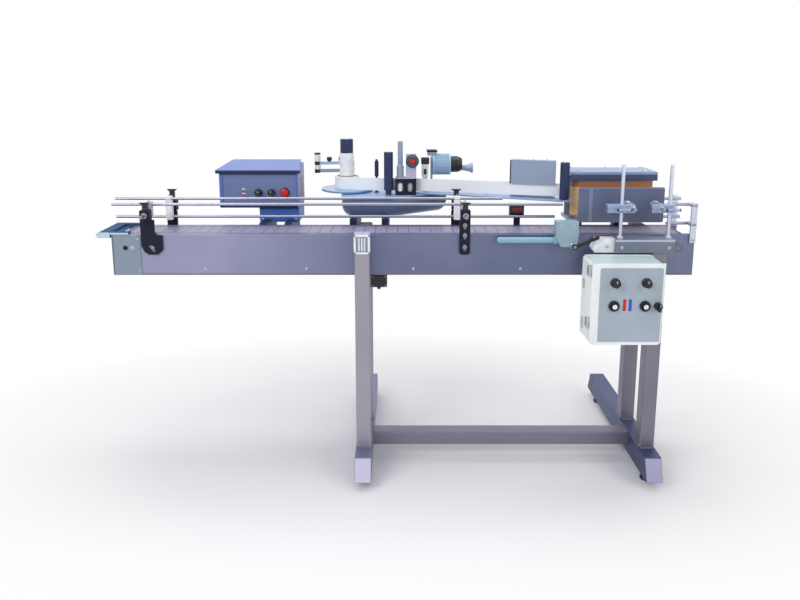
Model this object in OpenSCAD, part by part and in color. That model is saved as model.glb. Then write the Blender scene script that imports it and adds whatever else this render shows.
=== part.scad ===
// In-line wrap-around bottle labelling machine: slat conveyor on an H stand,
// operator console, label head with reel and peel point, wrap station and control box.
// Millimetres, +Z up, +X along the conveyor towards its discharge end, -Y towards the operator.
// The floor is z = 0 and the origin is under the middle of the machine.

/* [Conveyor] */
// Length of the conveyor over its end plates
conveyor_length = 2000; // [1990:10:2300]
// Width of the conveyor over its side plates
conveyor_width = 160; // [150:1:175]
// Height of the carrying surface above the floor
chain_height = 850; // [800:5:900]
// Depth of the side plates
side_plate_depth = 140; // [132:1:160]
// Thickness of the side plates
plate_thickness = 4; // [3:0.5:6]
// Width of the slats
chain_width = 114; // [90:1:120]
// Thickness of the slats
slat_thickness = 4; // [3:0.5:5]
// Pitch of the slats
slat_pitch = 38.1; // [25.4:12.7:50.8]
// Radius of the chain wheels at the back of the slats
wheel_radius = 42; // [38:0.5:44]
// Radius of the conveyor shafts
shaft_radius = 10; // [8:0.5:12]

/* [Stand] */
// Side of the square leg tube
leg_tube = 50; // [40:1:56]
// Wall of the square leg tube
leg_wall = 3; // [2:0.5:5]
// Centre of the left leg along the conveyor
left_leg_x = -110; // [-112:1:-80]
// Centre of the right leg along the conveyor
right_leg_x = 867; // [860:1:868]
// Height of the foot bars
foot_bar_height = 75; // [60:1:90]
// Width of the foot bars
foot_bar_width = 56; // [50:1:64]
// Gap between the foot bars and the floor
foot_gap = 30; // [24:1:40]
// Reach of the foot bars in front of the conveyor
foot_front_reach = 142; // [125:1:160]
// Reach of the foot bars behind the front of the conveyor
foot_rear_reach = 604; // [590:1:640]
// Set-back of the sloping ends of the foot bars
foot_slope = 30; // [10:1:40]
// Radius of the pads of the levelling feet
levelling_pad_radius = 22; // [15:1:26]

/* [Guide rails] */
// Radius of the guide rods
guide_rod_radius = 5; // [4:0.5:6]
// Radius of the cross rods that carry the guide rods
cross_rod_radius = 6; // [4:0.5:7]
// Height of the upper guide rods above the chain
upper_rail_height = 98; // [90:1:120]
// Height of the lower guide rods above the chain
lower_rail_height = 34; // [26:1:44]
// Clear width between the front and rear guide rods
lane_width = 106; // [96:1:112]

/* [Control box] */
// Width of the control box
box_width = 227; // [215:1:235]
// Height of the control box
box_height = 267; // [250:1:285]
// Depth of the control box behind its door
box_depth = 104; // [80:1:120]
// Thickness of the door
door_thickness = 10; // [6:0.5:14]
// Wall of the control box
box_wall = 4; // [2:0.5:6]
// Radius of the speed knobs
speed_knob_radius = 16; // [10:0.5:20]
// Radius of the push button rings
button_ring_radius = 17; // [12:0.5:17.5]

/* [Console] */
// Width of the console
console_width = 285; // [265:1:292]
// Depth of the console
console_depth = 170; // [150:1:200]
// Height of the console front
console_front_height = 132; // [115:1:150]
// Rise of the console roof towards the back
console_roof_rise = 16; // [5:1:30]
// Wall of the console casing
console_wall = 3; // [2:0.5:5]
// Radius of the console knobs
console_knob_radius = 14; // [9:0.5:18]

/* [Label head] */
// Height of the head casing
housing_height = 67; // [55:1:72]
// Radius of the reel platter
platter_radius = 97; // [80:1:105]
// Radius of the label roll
label_roll_radius = 46; // [42:1:65]
// Height of the label roll and of the label web
label_height = 46; // [30:1:60]
// Tallest label that the reel and the rollers have room for
label_room = 116; // [90:1:120]
// Thickness of the label web
web_thickness = 0.8; // [0.6:0.1:1.2]
// Radius of the drive roller
drive_roller_radius = 16.5; // [12:0.5:18]
// Radius of the peel roller
peel_roller_radius = 16; // [11:0.5:18]
// Radius of the head motor
head_motor_radius = 40; // [30:1:44]

/* [Wrap station] */
// Length of the pressure pad
pad_length = 286; // [260:1:296]
// Height of the pressure pad
pad_height = 119; // [100:1:130]
// Thickness of the pad foam
foam_thickness = 12; // [8:1:16]
// Radius of the wrap belt rollers
belt_roller_radius = 28; // [22:0.5:31]
// Height of the wrap belt
belt_height = 127; // [110:1:131]
// Radius of the posts of the pressure pad
pad_post_radius = 6; // [5:0.5:8]

/* [Hidden] */
$fn = 48;

// Running clearance of a shaft in its bore, and air between a roller and what passes it
running_clearance = 0.05;
air_gap = 0.4;

// Conveyor places, measured from its front face and from the datum of the stations
// The stations keep their places from the discharge end, so a longer conveyor has a longer infeed
discharge_end = 1000;
infeed_end = discharge_end - conveyor_length;
side_bottom = chain_height - side_plate_depth;
chain_outer = wheel_radius + slat_thickness;
shaft_z = chain_height - chain_outer;
nose_lip = 47;
nose_gap = 3;
nose_rise = 7;
nose_depth = 19;
nose_overhang = 4;
nose_wing = 63;
plate_start = infeed_end + nose_lip + nose_gap + 2;
idler_x = infeed_end + nose_lip + nose_gap + chain_outer;
discharge_gap = 4;
drive_x = discharge_end - discharge_gap - chain_outer;
chain_front = (conveyor_width - chain_width) / 2;
lane_middle = conveyor_width / 2;
end_panel_length = 95;
end_panel_thickness = 2;
shaft_hole = shaft_radius + 2;
groove_width = 1.5;
groove_depth = 1.2;
support_count = 5;
support_width = 30;
support_height = 20;
strip_height = 10;
strip_width = 14;
strip_offset = 36;
strip_end_gap = 60;
bearing_radius = 24;
bearing_width = 12;
wheel_width = 40;
hub_radius = 18;
hub_width = 60;

// Gearmotor behind the discharge end
gearbox_length = 100;
gearbox_depth = 140;
gearbox_low = 69;
gearbox_high = 16;
motor_radius = 42;
motor_length = 180;
motor_drop = 29;
motor_post_gap = 6;

// Stand places
foot_top = foot_gap + foot_bar_height;
post_rise = 5;
cap_height = 65;
cap_thickness = 6;
cap_rim = 1.5;
stretcher_front = 65;
stem_radius = 6;
stem_inset = 79;
pad_thickness = 10;
lock_nut_radius = 10;
lock_nut_height = 7;
junction_size = [55, 50, 45];

// Guide bracket places: each pair is the left and the right bracket
infeed_bracket_inset = 175;
infeed_bracket_stagger = 30;
front_bracket_x = [infeed_end + infeed_bracket_inset, 231];
rear_bracket_x = [infeed_end + infeed_bracket_inset + infeed_bracket_stagger, 215];
bracket_thickness = 8;
sensor_x = 431;
sensor_half = 25;
sensor_lift = 26;
sensor_height = 48;
sensor_depth = 34;
sensor_stem_half = 11;
sensor_stem_drop = 44;
bracket_low = 68;
wide_half = 23;
wide_foot = 47;
wide_corner = 15;
narrow_half = 18;
head_low = 50;
head_high = 86;
head_half = 16;
head_depth = 30;
cross_rod_height = 68;
rail_block_half = 11;
rail_block_depth = 20;
rail_inset = 50;
rail_start = infeed_end + rail_inset;
rear_rail_inset = 16;
rear_rail_start = infeed_end + rear_rail_inset;
rail_end = 560;
rear_rail_end = 375;
cross_rod_tail = 74;
knob_stud_radius = 4;
knob_stud_length = 9;
knob_gap = 0.3;
knob_hub_radius = 9;
knob_wing_half = 17;
knob_wing_thickness = 10;
front_knob_height = 24;
rear_knob_height = 40;
outfeed_guide_length = 92;
outfeed_post_width = 20;
outfeed_post_low = 28;

// Control box places
box_left = 615;
box_plate = 6;
box_gap = 5;
shelf_drop = 50;
shelf_bottom = chain_height - shelf_drop;
box_top = shelf_bottom - box_gap;
box_bottom = box_top - box_height;
box_right = box_left + box_width;
box_back = -(leg_tube + box_plate);
box_front = box_back - box_depth;
door_gap = 0.3;
door_front = box_front - door_gap - door_thickness;
panel_left = 28;
panel_right = 6;
panel_bottom = 12;
panel_top = 17;
panel_thickness = 1;
control_face = door_front - panel_thickness;
door_back = box_front - door_gap;
hinge_pin_radius = 2.5;
hinge_barrel_radius = 5;
hinge_offset = 6;
hinge_length = 18;
hinge_relief = 10;
hinge_lug = 7;
hinge_gap = 0.3;
hinge_strap = 14;
hinge_low = 72;
hinge_high = 242;
hinge_x = box_left - hinge_offset;
hinge_y = box_front - door_gap - door_thickness / 2;
control_shaft_radius = 4;
speed_knob_length = 22;
isolator_radius = 13;
isolator_length = 24.4;
isolator_edge = 16;
button_radius = 11;
button_ring_length = 8;
button_proud = 4;
button_flange = 13;
button_flange_gap = 0.5;
left_control_inset = 73;
left_control_x = box_left + left_control_inset;
right_control_inset = 171;
right_control_x = box_left + right_control_inset;
knob_row_drop = 62;
knob_row_z = box_top - knob_row_drop;
button_row_drop = 138;
button_row_z = box_top - button_row_drop;

// Shift that puts the origin midway between the isolator's face and the rear of the feet
front_reach = -control_face + knob_gap + isolator_length;
front_face_y = -(foot_rear_reach - front_reach) / 2;

// Places a piece that is measured from the datum and the front face of the conveyor
module placed() translate([-(infeed_end + discharge_end) / 2, front_face_y, 0]) children();

// Block between two corners
module block(low, high) translate(low) cube(high - low);

// Round bars along the three axes
module rod_x(x0, x1, y, z, r) translate([x0, y, z]) rotate([0, 90, 0]) cylinder(r = r, h = x1 - x0);
module rod_y(y0, y1, x, z, r) translate([x, y1, z]) rotate([90, 0, 0]) cylinder(r = r, h = y1 - y0);
module rod_z(z0, z1, x, y, r) translate([x, y, z0]) cylinder(r = r, h = z1 - z0);

// Plates cut from an outline in the Y-Z plane or in the X-Z plane
module plate_yz(x0, x1) translate([x0, 0, 0]) rotate([90, 0, 90]) linear_extrude(x1 - x0) children();
module plate_xz(y0, y1) translate([0, y1, 0]) rotate([90, 0, 0]) linear_extrude(y1 - y0) children();

// Square tube standing on end
module post_tube(x, y0, z0, z1) {
    difference() {
        block([x - leg_tube / 2, y0, z0], [x + leg_tube / 2, y0 + leg_tube, z1]);
        block([x - leg_tube / 2 + leg_wall, y0 + leg_wall, z0 - 1],
              [x + leg_tube / 2 - leg_wall, y0 + leg_tube - leg_wall, z1 + 1]);
    }
}

// Outline of a foot bar, drawn in by a margin
module foot_outline(margin) {
    polygon([
        [-foot_front_reach + margin * 2, foot_gap + margin],
        [-foot_front_reach + foot_slope + margin * 2, foot_top - margin],
        [foot_rear_reach - foot_slope - margin * 2, foot_top - margin],
        [foot_rear_reach - margin * 2, foot_gap + margin]
    ]);
}

// Places of the four levelling feet
module each_foot() {
    for (x = [left_leg_x, right_leg_x], y = [-foot_front_reach + stem_inset, foot_rear_reach - stem_inset])
        translate([x, y, 0]) children();
}

module floor_frame() {
    color([0.62, 0.62, 0.70]) placed() difference() {
        union() {
            for (x = [left_leg_x, right_leg_x])
                difference() {
                    plate_yz(x - foot_bar_width / 2, x + foot_bar_width / 2) foot_outline(0);
                    plate_yz(x - foot_bar_width / 2 + leg_wall, x + foot_bar_width / 2 - leg_wall)
                        foot_outline(leg_wall);
                }
            difference() {
                block([left_leg_x + foot_bar_width / 2, stretcher_front, foot_top - leg_tube],
                      [right_leg_x - foot_bar_width / 2, stretcher_front + leg_tube, foot_top]);
                block([left_leg_x, stretcher_front + leg_wall, foot_top - leg_tube + leg_wall],
                      [right_leg_x, stretcher_front + leg_tube - leg_wall, foot_top - leg_wall]);
            }
        }
        each_foot() translate([0, 0, foot_gap - 1])
            cylinder(r = stem_radius + running_clearance, h = leg_wall + 2);
    }
}

module leg_posts() {
    color([0.66, 0.66, 0.73]) placed() {
        post_tube(left_leg_x, -leg_tube, foot_top, chain_height + post_rise);
        post_tube(right_leg_x, -leg_tube, foot_top, shelf_bottom);
        for (x = [left_leg_x, right_leg_x]) post_tube(x, conveyor_width, foot_top, chain_height);
        translate([left_leg_x, 0, 0]) difference() {
            block([-leg_tube / 2 - cap_rim, -leg_tube - cap_thickness,
                   chain_height + post_rise * 2 - cap_height],
                  [leg_tube / 2 + cap_rim, 0, chain_height + post_rise * 2]);
            block([-leg_tube / 2, -leg_tube, chain_height - cap_height],
                  [leg_tube / 2, 1, chain_height + post_rise]);
        }
    }
}

module levelling_feet() {
    color([0.10, 0.10, 0.12]) placed() each_foot() {
        cylinder(r = levelling_pad_radius, h = pad_thickness);
        cylinder(r = stem_radius, h = foot_gap + leg_wall * 3);
        translate([0, 0, foot_gap - lock_nut_height])
            cylinder(r = lock_nut_radius, h = lock_nut_height, $fn = 6);
    }
}

module side_plates() {
    color([0.60, 0.62, 0.72]) placed() difference() {
        for (y = [0, conveyor_width - plate_thickness])
            block([plate_start, y, side_bottom], [discharge_end, y + plate_thickness, chain_height]);
        for (x = [idler_x, drive_x]) rod_y(-1, conveyor_width + 1, x, shaft_z, shaft_hole);
    }
}

module infeed_plates() {
    color([0.55, 0.60, 0.66]) placed() {
        for (y = [-end_panel_thickness, conveyor_width])
            difference() {
                block([plate_start, y, side_bottom + end_panel_thickness],
                      [plate_start + end_panel_length, y + end_panel_thickness,
                       chain_height - end_panel_thickness]);
                rod_y(y - 1, y + end_panel_thickness + 1, idler_x, shaft_z, shaft_hole);
            }
        block([infeed_end, -nose_overhang, chain_height + nose_rise - nose_depth],
              [infeed_end + nose_lip, conveyor_width + nose_overhang, chain_height + nose_rise]);
        for (y = [-nose_overhang, conveyor_width - chain_front + nose_gap])
            block([infeed_end + nose_lip + air_gap, y, chain_height],
                  [infeed_end + nose_lip + nose_wing, y + chain_front + nose_overhang - nose_gap,
                   chain_height + nose_rise]);
    }
}

module chain_supports() {
    strip_low = chain_height - slat_thickness - strip_height;
    return_low = shaft_z - chain_outer;
    color([0.55, 0.58, 0.62]) placed() {
        for (i = [1 : support_count], z = [strip_low, return_low])
            translate([idler_x + i * (drive_x - idler_x) / (support_count + 1), 0, z])
                block([-support_width / 2, plate_thickness, -support_height],
                      [support_width / 2, conveyor_width - plate_thickness, 0]);
        for (side = [-1, 1])
            translate([0, lane_middle + side * strip_offset, strip_low])
                block([idler_x + strip_end_gap, -strip_width / 2, 0],
                      [drive_x - strip_end_gap, strip_width / 2, strip_height]);
    }
}

module chain_top_run() {
    color([0.62, 0.56, 0.64]) placed() difference() {
        block([idler_x, chain_front, chain_height - slat_thickness],
              [drive_x, chain_front + chain_width, chain_height]);
        for (x = [idler_x + slat_pitch : slat_pitch : drive_x - groove_width])
            block([x, chain_front - 1, chain_height - groove_depth],
                  [x + groove_width, chain_front + chain_width + 1, chain_height + 1]);
    }
}

// Half turn of the chain round one wheel; side is -1 for the infeed and 1 for the discharge
module chain_wrap(x, side) {
    difference() {
        rod_y(chain_front, chain_front + chain_width, x, shaft_z, chain_outer);
        rod_y(chain_front - 1, chain_front + chain_width + 1, x, shaft_z, wheel_radius);
        translate([x - side * chain_outer, lane_middle, shaft_z])
            cube([chain_outer * 2, conveyor_width, chain_outer * 3], center = true);
    }
}

module chain_return() {
    color([0.58, 0.53, 0.60]) placed() {
        block([idler_x, chain_front, shaft_z - chain_outer],
              [drive_x, chain_front + chain_width, shaft_z - wheel_radius]);
        chain_wrap(idler_x, -1);
        chain_wrap(drive_x, 1);
    }
}

// Shaft with its chain wheel; rear is how far the shaft runs
module wheel_shaft(x, rear) {
    rod_y(0, rear, x, shaft_z, shaft_radius);
    rod_y(lane_middle - hub_width / 2, lane_middle + hub_width / 2, x, shaft_z, hub_radius);
    rod_y(lane_middle - wheel_width / 2, lane_middle + wheel_width / 2, x, shaft_z, wheel_radius - air_gap);
}

module drive_shaft() {
    color([0.5, 0.5, 0.55]) placed() wheel_shaft(drive_x, conveyor_width - air_gap);
}

module idler_shaft() {
    color([0.5, 0.5, 0.55]) placed() wheel_shaft(idler_x, conveyor_width);
}

module shaft_bearings() {
    color([0.25, 0.25, 0.28]) placed() difference() {
        for (x = [idler_x, drive_x],
             y = [plate_thickness, conveyor_width - plate_thickness - bearing_width])
            rod_y(y, y + bearing_width, x, shaft_z, bearing_radius);
        for (x = [idler_x, drive_x])
            rod_y(-1, conveyor_width + 1, x, shaft_z, shaft_radius + running_clearance);
    }
}

module drive_gearmotor() {
    motor_y = conveyor_width + leg_tube + motor_post_gap + motor_radius;
    color([0.35, 0.40, 0.48]) placed() {
        block([discharge_end - gearbox_length, conveyor_width, shaft_z - gearbox_low],
              [discharge_end, conveyor_width + gearbox_depth, shaft_z + gearbox_high]);
        rod_x(discharge_end - gearbox_length - motor_length, discharge_end - gearbox_length,
              motor_y, shaft_z - motor_drop, motor_radius);
    }
}

module junction_box() {
    color([0.08, 0.08, 0.10]) placed()
        translate([left_leg_x + leg_tube / 2 + 1, 0, side_bottom - junction_size[2]]) cube(junction_size);
}

// Outline of the wide left bracket and of the narrow right bracket, in X and height over the chain
module bracket_outline(wide) {
    if (wide)
        polygon([[-wide_half, head_low], [wide_half, head_low], [wide_half, 0], [wide_foot, 0],
                 [wide_foot, wide_corner - bracket_low], [wide_foot - wide_corner, -bracket_low],
                 [0, -bracket_low], [-wide_half, wide_corner * 2 - bracket_low]]);
    else
        polygon([[-narrow_half, head_low], [narrow_half, head_low], [narrow_half, -bracket_low],
                 [-narrow_half, -bracket_low]]);
}

// Head of a bracket, with the bore of its cross rod and the hole of its knob
module bracket_head(x, y0) {
    difference() {
        block([x - head_half, y0, chain_height + head_low],
              [x + head_half, y0 + head_depth, chain_height + head_high]);
        rod_y(y0 - 1, y0 + head_depth + 1, x, chain_height + cross_rod_height,
              cross_rod_radius + running_clearance);
        rod_z(chain_height + cross_rod_height, chain_height + head_high + 1, x, y0 + head_depth / 2,
              knob_stud_radius + running_clearance);
    }
}

// Bottle sensor behind the rear rail, on a stem of its own
module bottle_sensor() {
    low = chain_height + sensor_lift;
    block([sensor_x - sensor_stem_half, conveyor_width, chain_height - sensor_stem_drop],
          [sensor_x + sensor_stem_half, conveyor_width + bracket_thickness, low + 1]);
    block([sensor_x - sensor_half, conveyor_width, low],
          [sensor_x + sensor_half, conveyor_width + sensor_depth, low + sensor_height]);
}

module guide_brackets() {
    color([0.09, 0.09, 0.12]) placed() {
        for (i = [0, 1]) {
            translate([front_bracket_x[i], 0, chain_height])
                plate_xz(-bracket_thickness, 0) bracket_outline(i == 0);
            bracket_head(front_bracket_x[i], -head_depth);
            translate([rear_bracket_x[i], 0, chain_height])
                plate_xz(conveyor_width, conveyor_width + bracket_thickness) bracket_outline(false);
            bracket_head(rear_bracket_x[i], conveyor_width);
        }
        bottle_sensor();
    }
}

// Guide rods on one side of the lane, with their clamp blocks and cross rods
module guide_side(y, heights, start, ends, xs, tail) {
    low = min(concat(heights, [cross_rod_height])) - rail_block_half;
    high = max(heights) + rail_block_half - 1;
    for (i = [0 : len(heights) - 1])
        rod_x(start, ends[i], y, chain_height + heights[i], guide_rod_radius);
    for (x = xs) {
        block([x - rail_block_half, y - rail_block_depth / 2, chain_height + low],
              [x + rail_block_half, y + rail_block_depth / 2, chain_height + high]);
        if (tail < 0) rod_y(y + tail, y, x, chain_height + cross_rod_height, cross_rod_radius);
        else rod_y(y, y + tail, x, chain_height + cross_rod_height, cross_rod_radius);
    }
}

front_rail_y = lane_middle - lane_width / 2 - guide_rod_radius;
rear_rail_y = lane_middle + lane_width / 2 + guide_rod_radius;
cross_rod_reach = cross_rod_tail + rail_block_depth / 2;

module front_guide_rail() {
    color([0.78, 0.78, 0.82]) placed()
        guide_side(front_rail_y, [upper_rail_height], rail_start, [rail_end], front_bracket_x,
                   -cross_rod_reach);
}

module rear_guide_rails() {
    color([0.78, 0.78, 0.82]) placed()
        guide_side(rear_rail_y, [upper_rail_height, lower_rail_height], rear_rail_start,
                   [rear_rail_end, rail_end], rear_bracket_x, cross_rod_reach);
}

module outfeed_guides() {
    x0 = discharge_end - outfeed_guide_length;
    color([0.78, 0.78, 0.82]) placed() {
        for (y = [front_rail_y, rear_rail_y], h = [upper_rail_height, lower_rail_height])
            rod_x(x0, discharge_end, y, chain_height + h, guide_rod_radius);
        for (side = [0, 1]) {
            rail_y = side == 0 ? front_rail_y : rear_rail_y;
            outer = side == 0 ? -bracket_thickness : conveyor_width;
            inner = side == 0 ? rail_y + guide_rod_radius : conveyor_width + bracket_thickness;
            low_y = side == 0 ? outer : rail_y - guide_rod_radius;
            translate([discharge_end - outfeed_post_width, 0, chain_height]) {
                block([0, outer, -outfeed_post_low],
                      [outfeed_post_width, outer + bracket_thickness, upper_rail_height + rail_block_half]);
                for (h = [upper_rail_height, lower_rail_height])
                    block([0, low_y, h - rail_block_half / 2],
                          [outfeed_post_width, inner, h + rail_block_half / 2]);
            }
        }
    }
}

// Wing knob with its stud, standing on a bracket head
module wing_knob(x, y, height) {
    z = chain_height + head_high;
    color([0.07, 0.07, 0.09]) placed() {
        rod_z(z - knob_stud_length, z + knob_gap + 1, x, y, knob_stud_radius);
        rod_z(z + knob_gap, z + height - knob_wing_half, x, y, knob_hub_radius);
        translate([x, y, z + height]) plate_xz(-knob_wing_thickness / 2, knob_wing_thickness / 2)
            polygon([[-knob_hub_radius, -knob_wing_half - 1], [knob_hub_radius, -knob_wing_half - 1],
                     [knob_wing_half, 0], [-knob_wing_half, 0]]);
    }
}

front_knob_y = -head_depth / 2;
rear_knob_y = conveyor_width + head_depth / 2;

module front_left_knob() wing_knob(front_bracket_x[0], front_knob_y, front_knob_height);
module front_right_knob() wing_knob(front_bracket_x[1], front_knob_y, front_knob_height);
module rear_left_knob() wing_knob(rear_bracket_x[0], rear_knob_y, rear_knob_height);
module rear_right_knob() wing_knob(rear_bracket_x[1], rear_knob_y, rear_knob_height);

// Heights of the two hinges of the control door
hinge_heights = [box_bottom + hinge_low, box_bottom + hinge_high];
mount_plate_margin = 30;

module control_box() {
    color([0.90, 0.95, 0.92]) placed() {
        difference() {
            block([box_left, box_front, box_bottom], [box_right, box_back, box_top]);
            block([box_left + box_wall, box_front - 1, box_bottom + box_wall],
                  [box_right - box_wall, box_back - box_wall, box_top - box_wall]);
        }
        block([box_left + mount_plate_margin * 2, box_back, box_bottom + mount_plate_margin],
              [right_leg_x + leg_tube / 2, -leg_tube, box_top - mount_plate_margin]);
        for (h = hinge_heights) {
            block([hinge_x - hinge_barrel_radius, hinge_y - hinge_barrel_radius, h - hinge_length],
                  [box_left, box_front + hinge_strap, h]);
            block([box_left, hinge_y - hinge_barrel_radius, h - hinge_length],
                  [box_left + hinge_lug, box_front, h]);
            rod_z(h - hinge_length, h + hinge_length, hinge_x, hinge_y, hinge_pin_radius);
        }
    }
}

module control_door() {
    color([0.86, 0.92, 0.90]) placed() difference() {
        union() {
            block([box_left, door_front, box_bottom], [box_right, door_back, box_top]);
            block([box_left + panel_left, control_face, box_bottom + panel_bottom],
                  [box_right - panel_right, door_front, box_top - panel_top]);
            for (x = [left_control_x, right_control_x])
                rod_y(control_face - button_ring_length, control_face, x, button_row_z, button_ring_radius);
            for (h = hinge_heights) {
                rod_z(h + hinge_gap, h + hinge_length, hinge_x, hinge_y, hinge_barrel_radius);
                block([hinge_x, hinge_y - door_thickness / 2, h + hinge_gap],
                      [box_left + 1, hinge_y + door_thickness / 2, h + hinge_length]);
            }
        }
        for (h = hinge_heights) {
            block([box_left - 1, door_front - 1, h - hinge_length - hinge_gap],
                  [box_left + hinge_relief, door_back + 1, h + hinge_gap]);
            rod_z(h - 1, h + hinge_length + 1, hinge_x, hinge_y, hinge_pin_radius + running_clearance);
        }
        for (x = [left_control_x, right_control_x]) {
            rod_y(control_face - 1, door_back + 1, x, knob_row_z, control_shaft_radius + running_clearance);
            rod_y(control_face - button_ring_length - 1, door_back + 1, x, button_row_z,
                  button_radius + running_clearance);
        }
        rod_y(control_face - 1, door_back + 1, box_right - isolator_edge, button_row_z,
              control_shaft_radius + running_clearance);
    }
}

// Turned control on the front of a panel: cap, shaft through the panel and collar behind it
module panel_knob(x, z, face, back, radius, length, shaft) {
    rod_y(face - knob_gap - length, face - knob_gap, x, z, radius);
    rod_y(face - knob_gap - 1, back + 4, x, z, shaft);
    rod_y(back + knob_gap, back + 3, x, z, shaft + 3);
}

module speed_knob(x) {
    color([0.06, 0.06, 0.08]) placed() difference() {
        panel_knob(x, knob_row_z, control_face, door_back, speed_knob_radius, speed_knob_length,
                   control_shaft_radius);
        block([x - 1, control_face - knob_gap - speed_knob_length - 1, knob_row_z + speed_knob_radius / 4],
              [x + 1, control_face - knob_gap - speed_knob_length + 1,
               knob_row_z + speed_knob_radius * 3 / 4]);
    }
}

module left_speed_knob() speed_knob(left_control_x);
module right_speed_knob() speed_knob(right_control_x);

// Push button in its ring, with the flange that keeps it in the door
module push_button(x, tint) {
    color(tint) placed() {
        rod_y(control_face - button_ring_length - button_proud, door_back + button_flange_gap + 1, x,
              button_row_z, button_radius);
        rod_y(door_back + button_flange_gap, door_back + button_flange_gap + 2, x, button_row_z,
              button_flange);
    }
}

module start_button() push_button(left_control_x, [0.95, 0.96, 0.96]);
module stop_button() push_button(right_control_x, [0.95, 0.96, 0.96]);

module isolator_knob() {
    x = box_right - isolator_edge;
    grip_half = 4;
    base_length = isolator_length / 2;
    color([0.05, 0.05, 0.06]) placed() {
        panel_knob(x, button_row_z, control_face, door_back, isolator_radius, base_length,
                   control_shaft_radius);
        block([x - grip_half, control_face - knob_gap - isolator_length, button_row_z - isolator_radius],
              [x + grip_half, control_face - knob_gap - base_length, button_row_z + isolator_radius]);
    }
}

// Console places behind the conveyor
console_left = -640;
console_right = console_left + console_width;
console_standoff = 66;
console_front = conveyor_width + console_standoff;
console_back = console_front + console_depth;
console_base_height = 56;
console_drop = 7;
console_base_low = chain_height - console_drop;
console_low = console_base_low + console_base_height;
console_base_inset = 140;
console_base_margin = 14;
roof_overhang = 10;
roof_thickness = 8;
roof_taper = 22;
console_control_height = 56;
console_control_z = console_low + console_control_height;
console_knob_inset = [142, 189];
console_knob_x = [console_left + console_knob_inset[0], console_left + console_knob_inset[1]];
emergency_inset = 236;
emergency_x = console_left + emergency_inset;
console_knob_length = 22;
emergency_radius = 15;
emergency_head = 10;
emergency_stem = 8;
emergency_travel = 4;
console_slope = console_roof_rise / console_depth;

// Label head places behind the conveyor
head_standoff = 25;
head_depth_over_all = 295;
head_lift = 21;
head_front = conveyor_width + head_standoff;
head_rear = head_front + head_depth_over_all;
housing_low = chain_height + head_lift;
housing_top = housing_low + housing_height;
housing_wall = 4;
deck_thickness = 6;
deck_top = housing_top + deck_thickness;

// Wrap belt unit places
belt_offset = 40;
belt_front = lane_middle + belt_offset;
belt_thickness = 2;
belt_axis_y = belt_front + belt_thickness + belt_roller_radius;
belt_axis_x = [645, 870];
belt_unit_x = [606, 906];
belt_unit_lift = 18;
belt_unit_low = chain_height + belt_unit_lift;
belt_floor_thickness = 12;
belt_floor_gap = 6;
belt_low = belt_unit_low + belt_floor_thickness + belt_floor_gap;
belt_cover_gap = 17;
belt_cover_low = belt_low + belt_height + belt_cover_gap;
belt_cover_thickness = 15;
belt_unit_reach = 85;
belt_unit_back = conveyor_width + belt_unit_reach;

// Arms that carry the console, the head and the belt unit
arm_width = 25;
console_arm_x = [-475, -385];
head_arm_x = [-152, -38];
belt_arm_x = [650, 790];
arm_depth = 50;
belt_arm_reach = 45;

// One arm on the rear plate, reaching back to a depth and up to the underside it carries
module arm(x, reach, top) {
    block([x - arm_width / 2, conveyor_width, chain_height - arm_depth],
          [x + arm_width / 2, conveyor_width + reach, top]);
}

module support_arms() {
    color([0.20, 0.22, 0.30]) placed() {
        for (x = console_arm_x) arm(x, console_back - conveyor_width - console_base_margin, console_base_low);
        for (x = head_arm_x) arm(x, head_rear - conveyor_width - console_base_margin, housing_low);
        for (x = belt_arm_x) arm(x, belt_arm_reach, belt_unit_low);
    }
}

module console_base() {
    color([0.20, 0.36, 0.66]) placed()
        block([console_left + console_base_inset, console_front + console_base_margin, console_base_low],
              [console_right, console_back - console_base_margin, console_low]);
}

// Side outline of the console, drawn in by a margin
module console_outline(margin) {
    polygon([
        [console_front + margin, console_low + margin],
        [console_front + margin, console_low + console_front_height - margin],
        [console_back - margin, console_low + console_front_height + console_roof_rise - margin],
        [console_back - margin, console_low + margin]
    ]);
}

module console_body() {
    color([0.52, 0.53, 0.66]) placed() difference() {
        plate_yz(console_left, console_right) console_outline(0);
        plate_yz(console_left + console_wall, console_right - console_wall) console_outline(console_wall);
        for (x = console_knob_x)
            rod_y(console_front - 1, console_front + console_wall + 1, x, console_control_z,
                  control_shaft_radius + running_clearance);
        rod_y(console_front - 1, console_front + console_wall + 1, emergency_x, console_control_z,
              emergency_stem + running_clearance);
    }
}

module console_roof() {
    eave_z = console_low + console_front_height + air_gap;
    front_z = eave_z - roof_overhang * console_slope;
    back_z = eave_z + console_roof_rise + roof_overhang * console_slope;
    near = console_front - roof_overhang;
    far = console_back + roof_overhang;
    left = console_left - roof_overhang;
    right = console_right + roof_overhang;
    color([0.48, 0.52, 0.78]) placed() difference() {
        plate_yz(left, right)
            polygon([[near, front_z], [far, back_z], [far, back_z + roof_thickness],
                     [near, front_z + roof_thickness]]);
        translate([0, 0, front_z - 1]) linear_extrude(back_z + roof_thickness - front_z + 2) {
            polygon([[left - 1, near], [left, near], [left + roof_taper, far], [left + roof_taper, far + 1],
                     [left - 1, far + 1]]);
            polygon([[right + 1, near], [right + 1, far + 1], [right - roof_taper, far + 1],
                     [right - roof_taper, far], [right, near]]);
        }
    }
}

module console_knob(x) {
    color([0.07, 0.07, 0.09]) placed()
        panel_knob(x, console_control_z, console_front, console_front + console_wall, console_knob_radius,
                   console_knob_length, control_shaft_radius);
}

module console_left_knob() console_knob(console_knob_x[0]);
module console_right_knob() console_knob(console_knob_x[1]);

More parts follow.
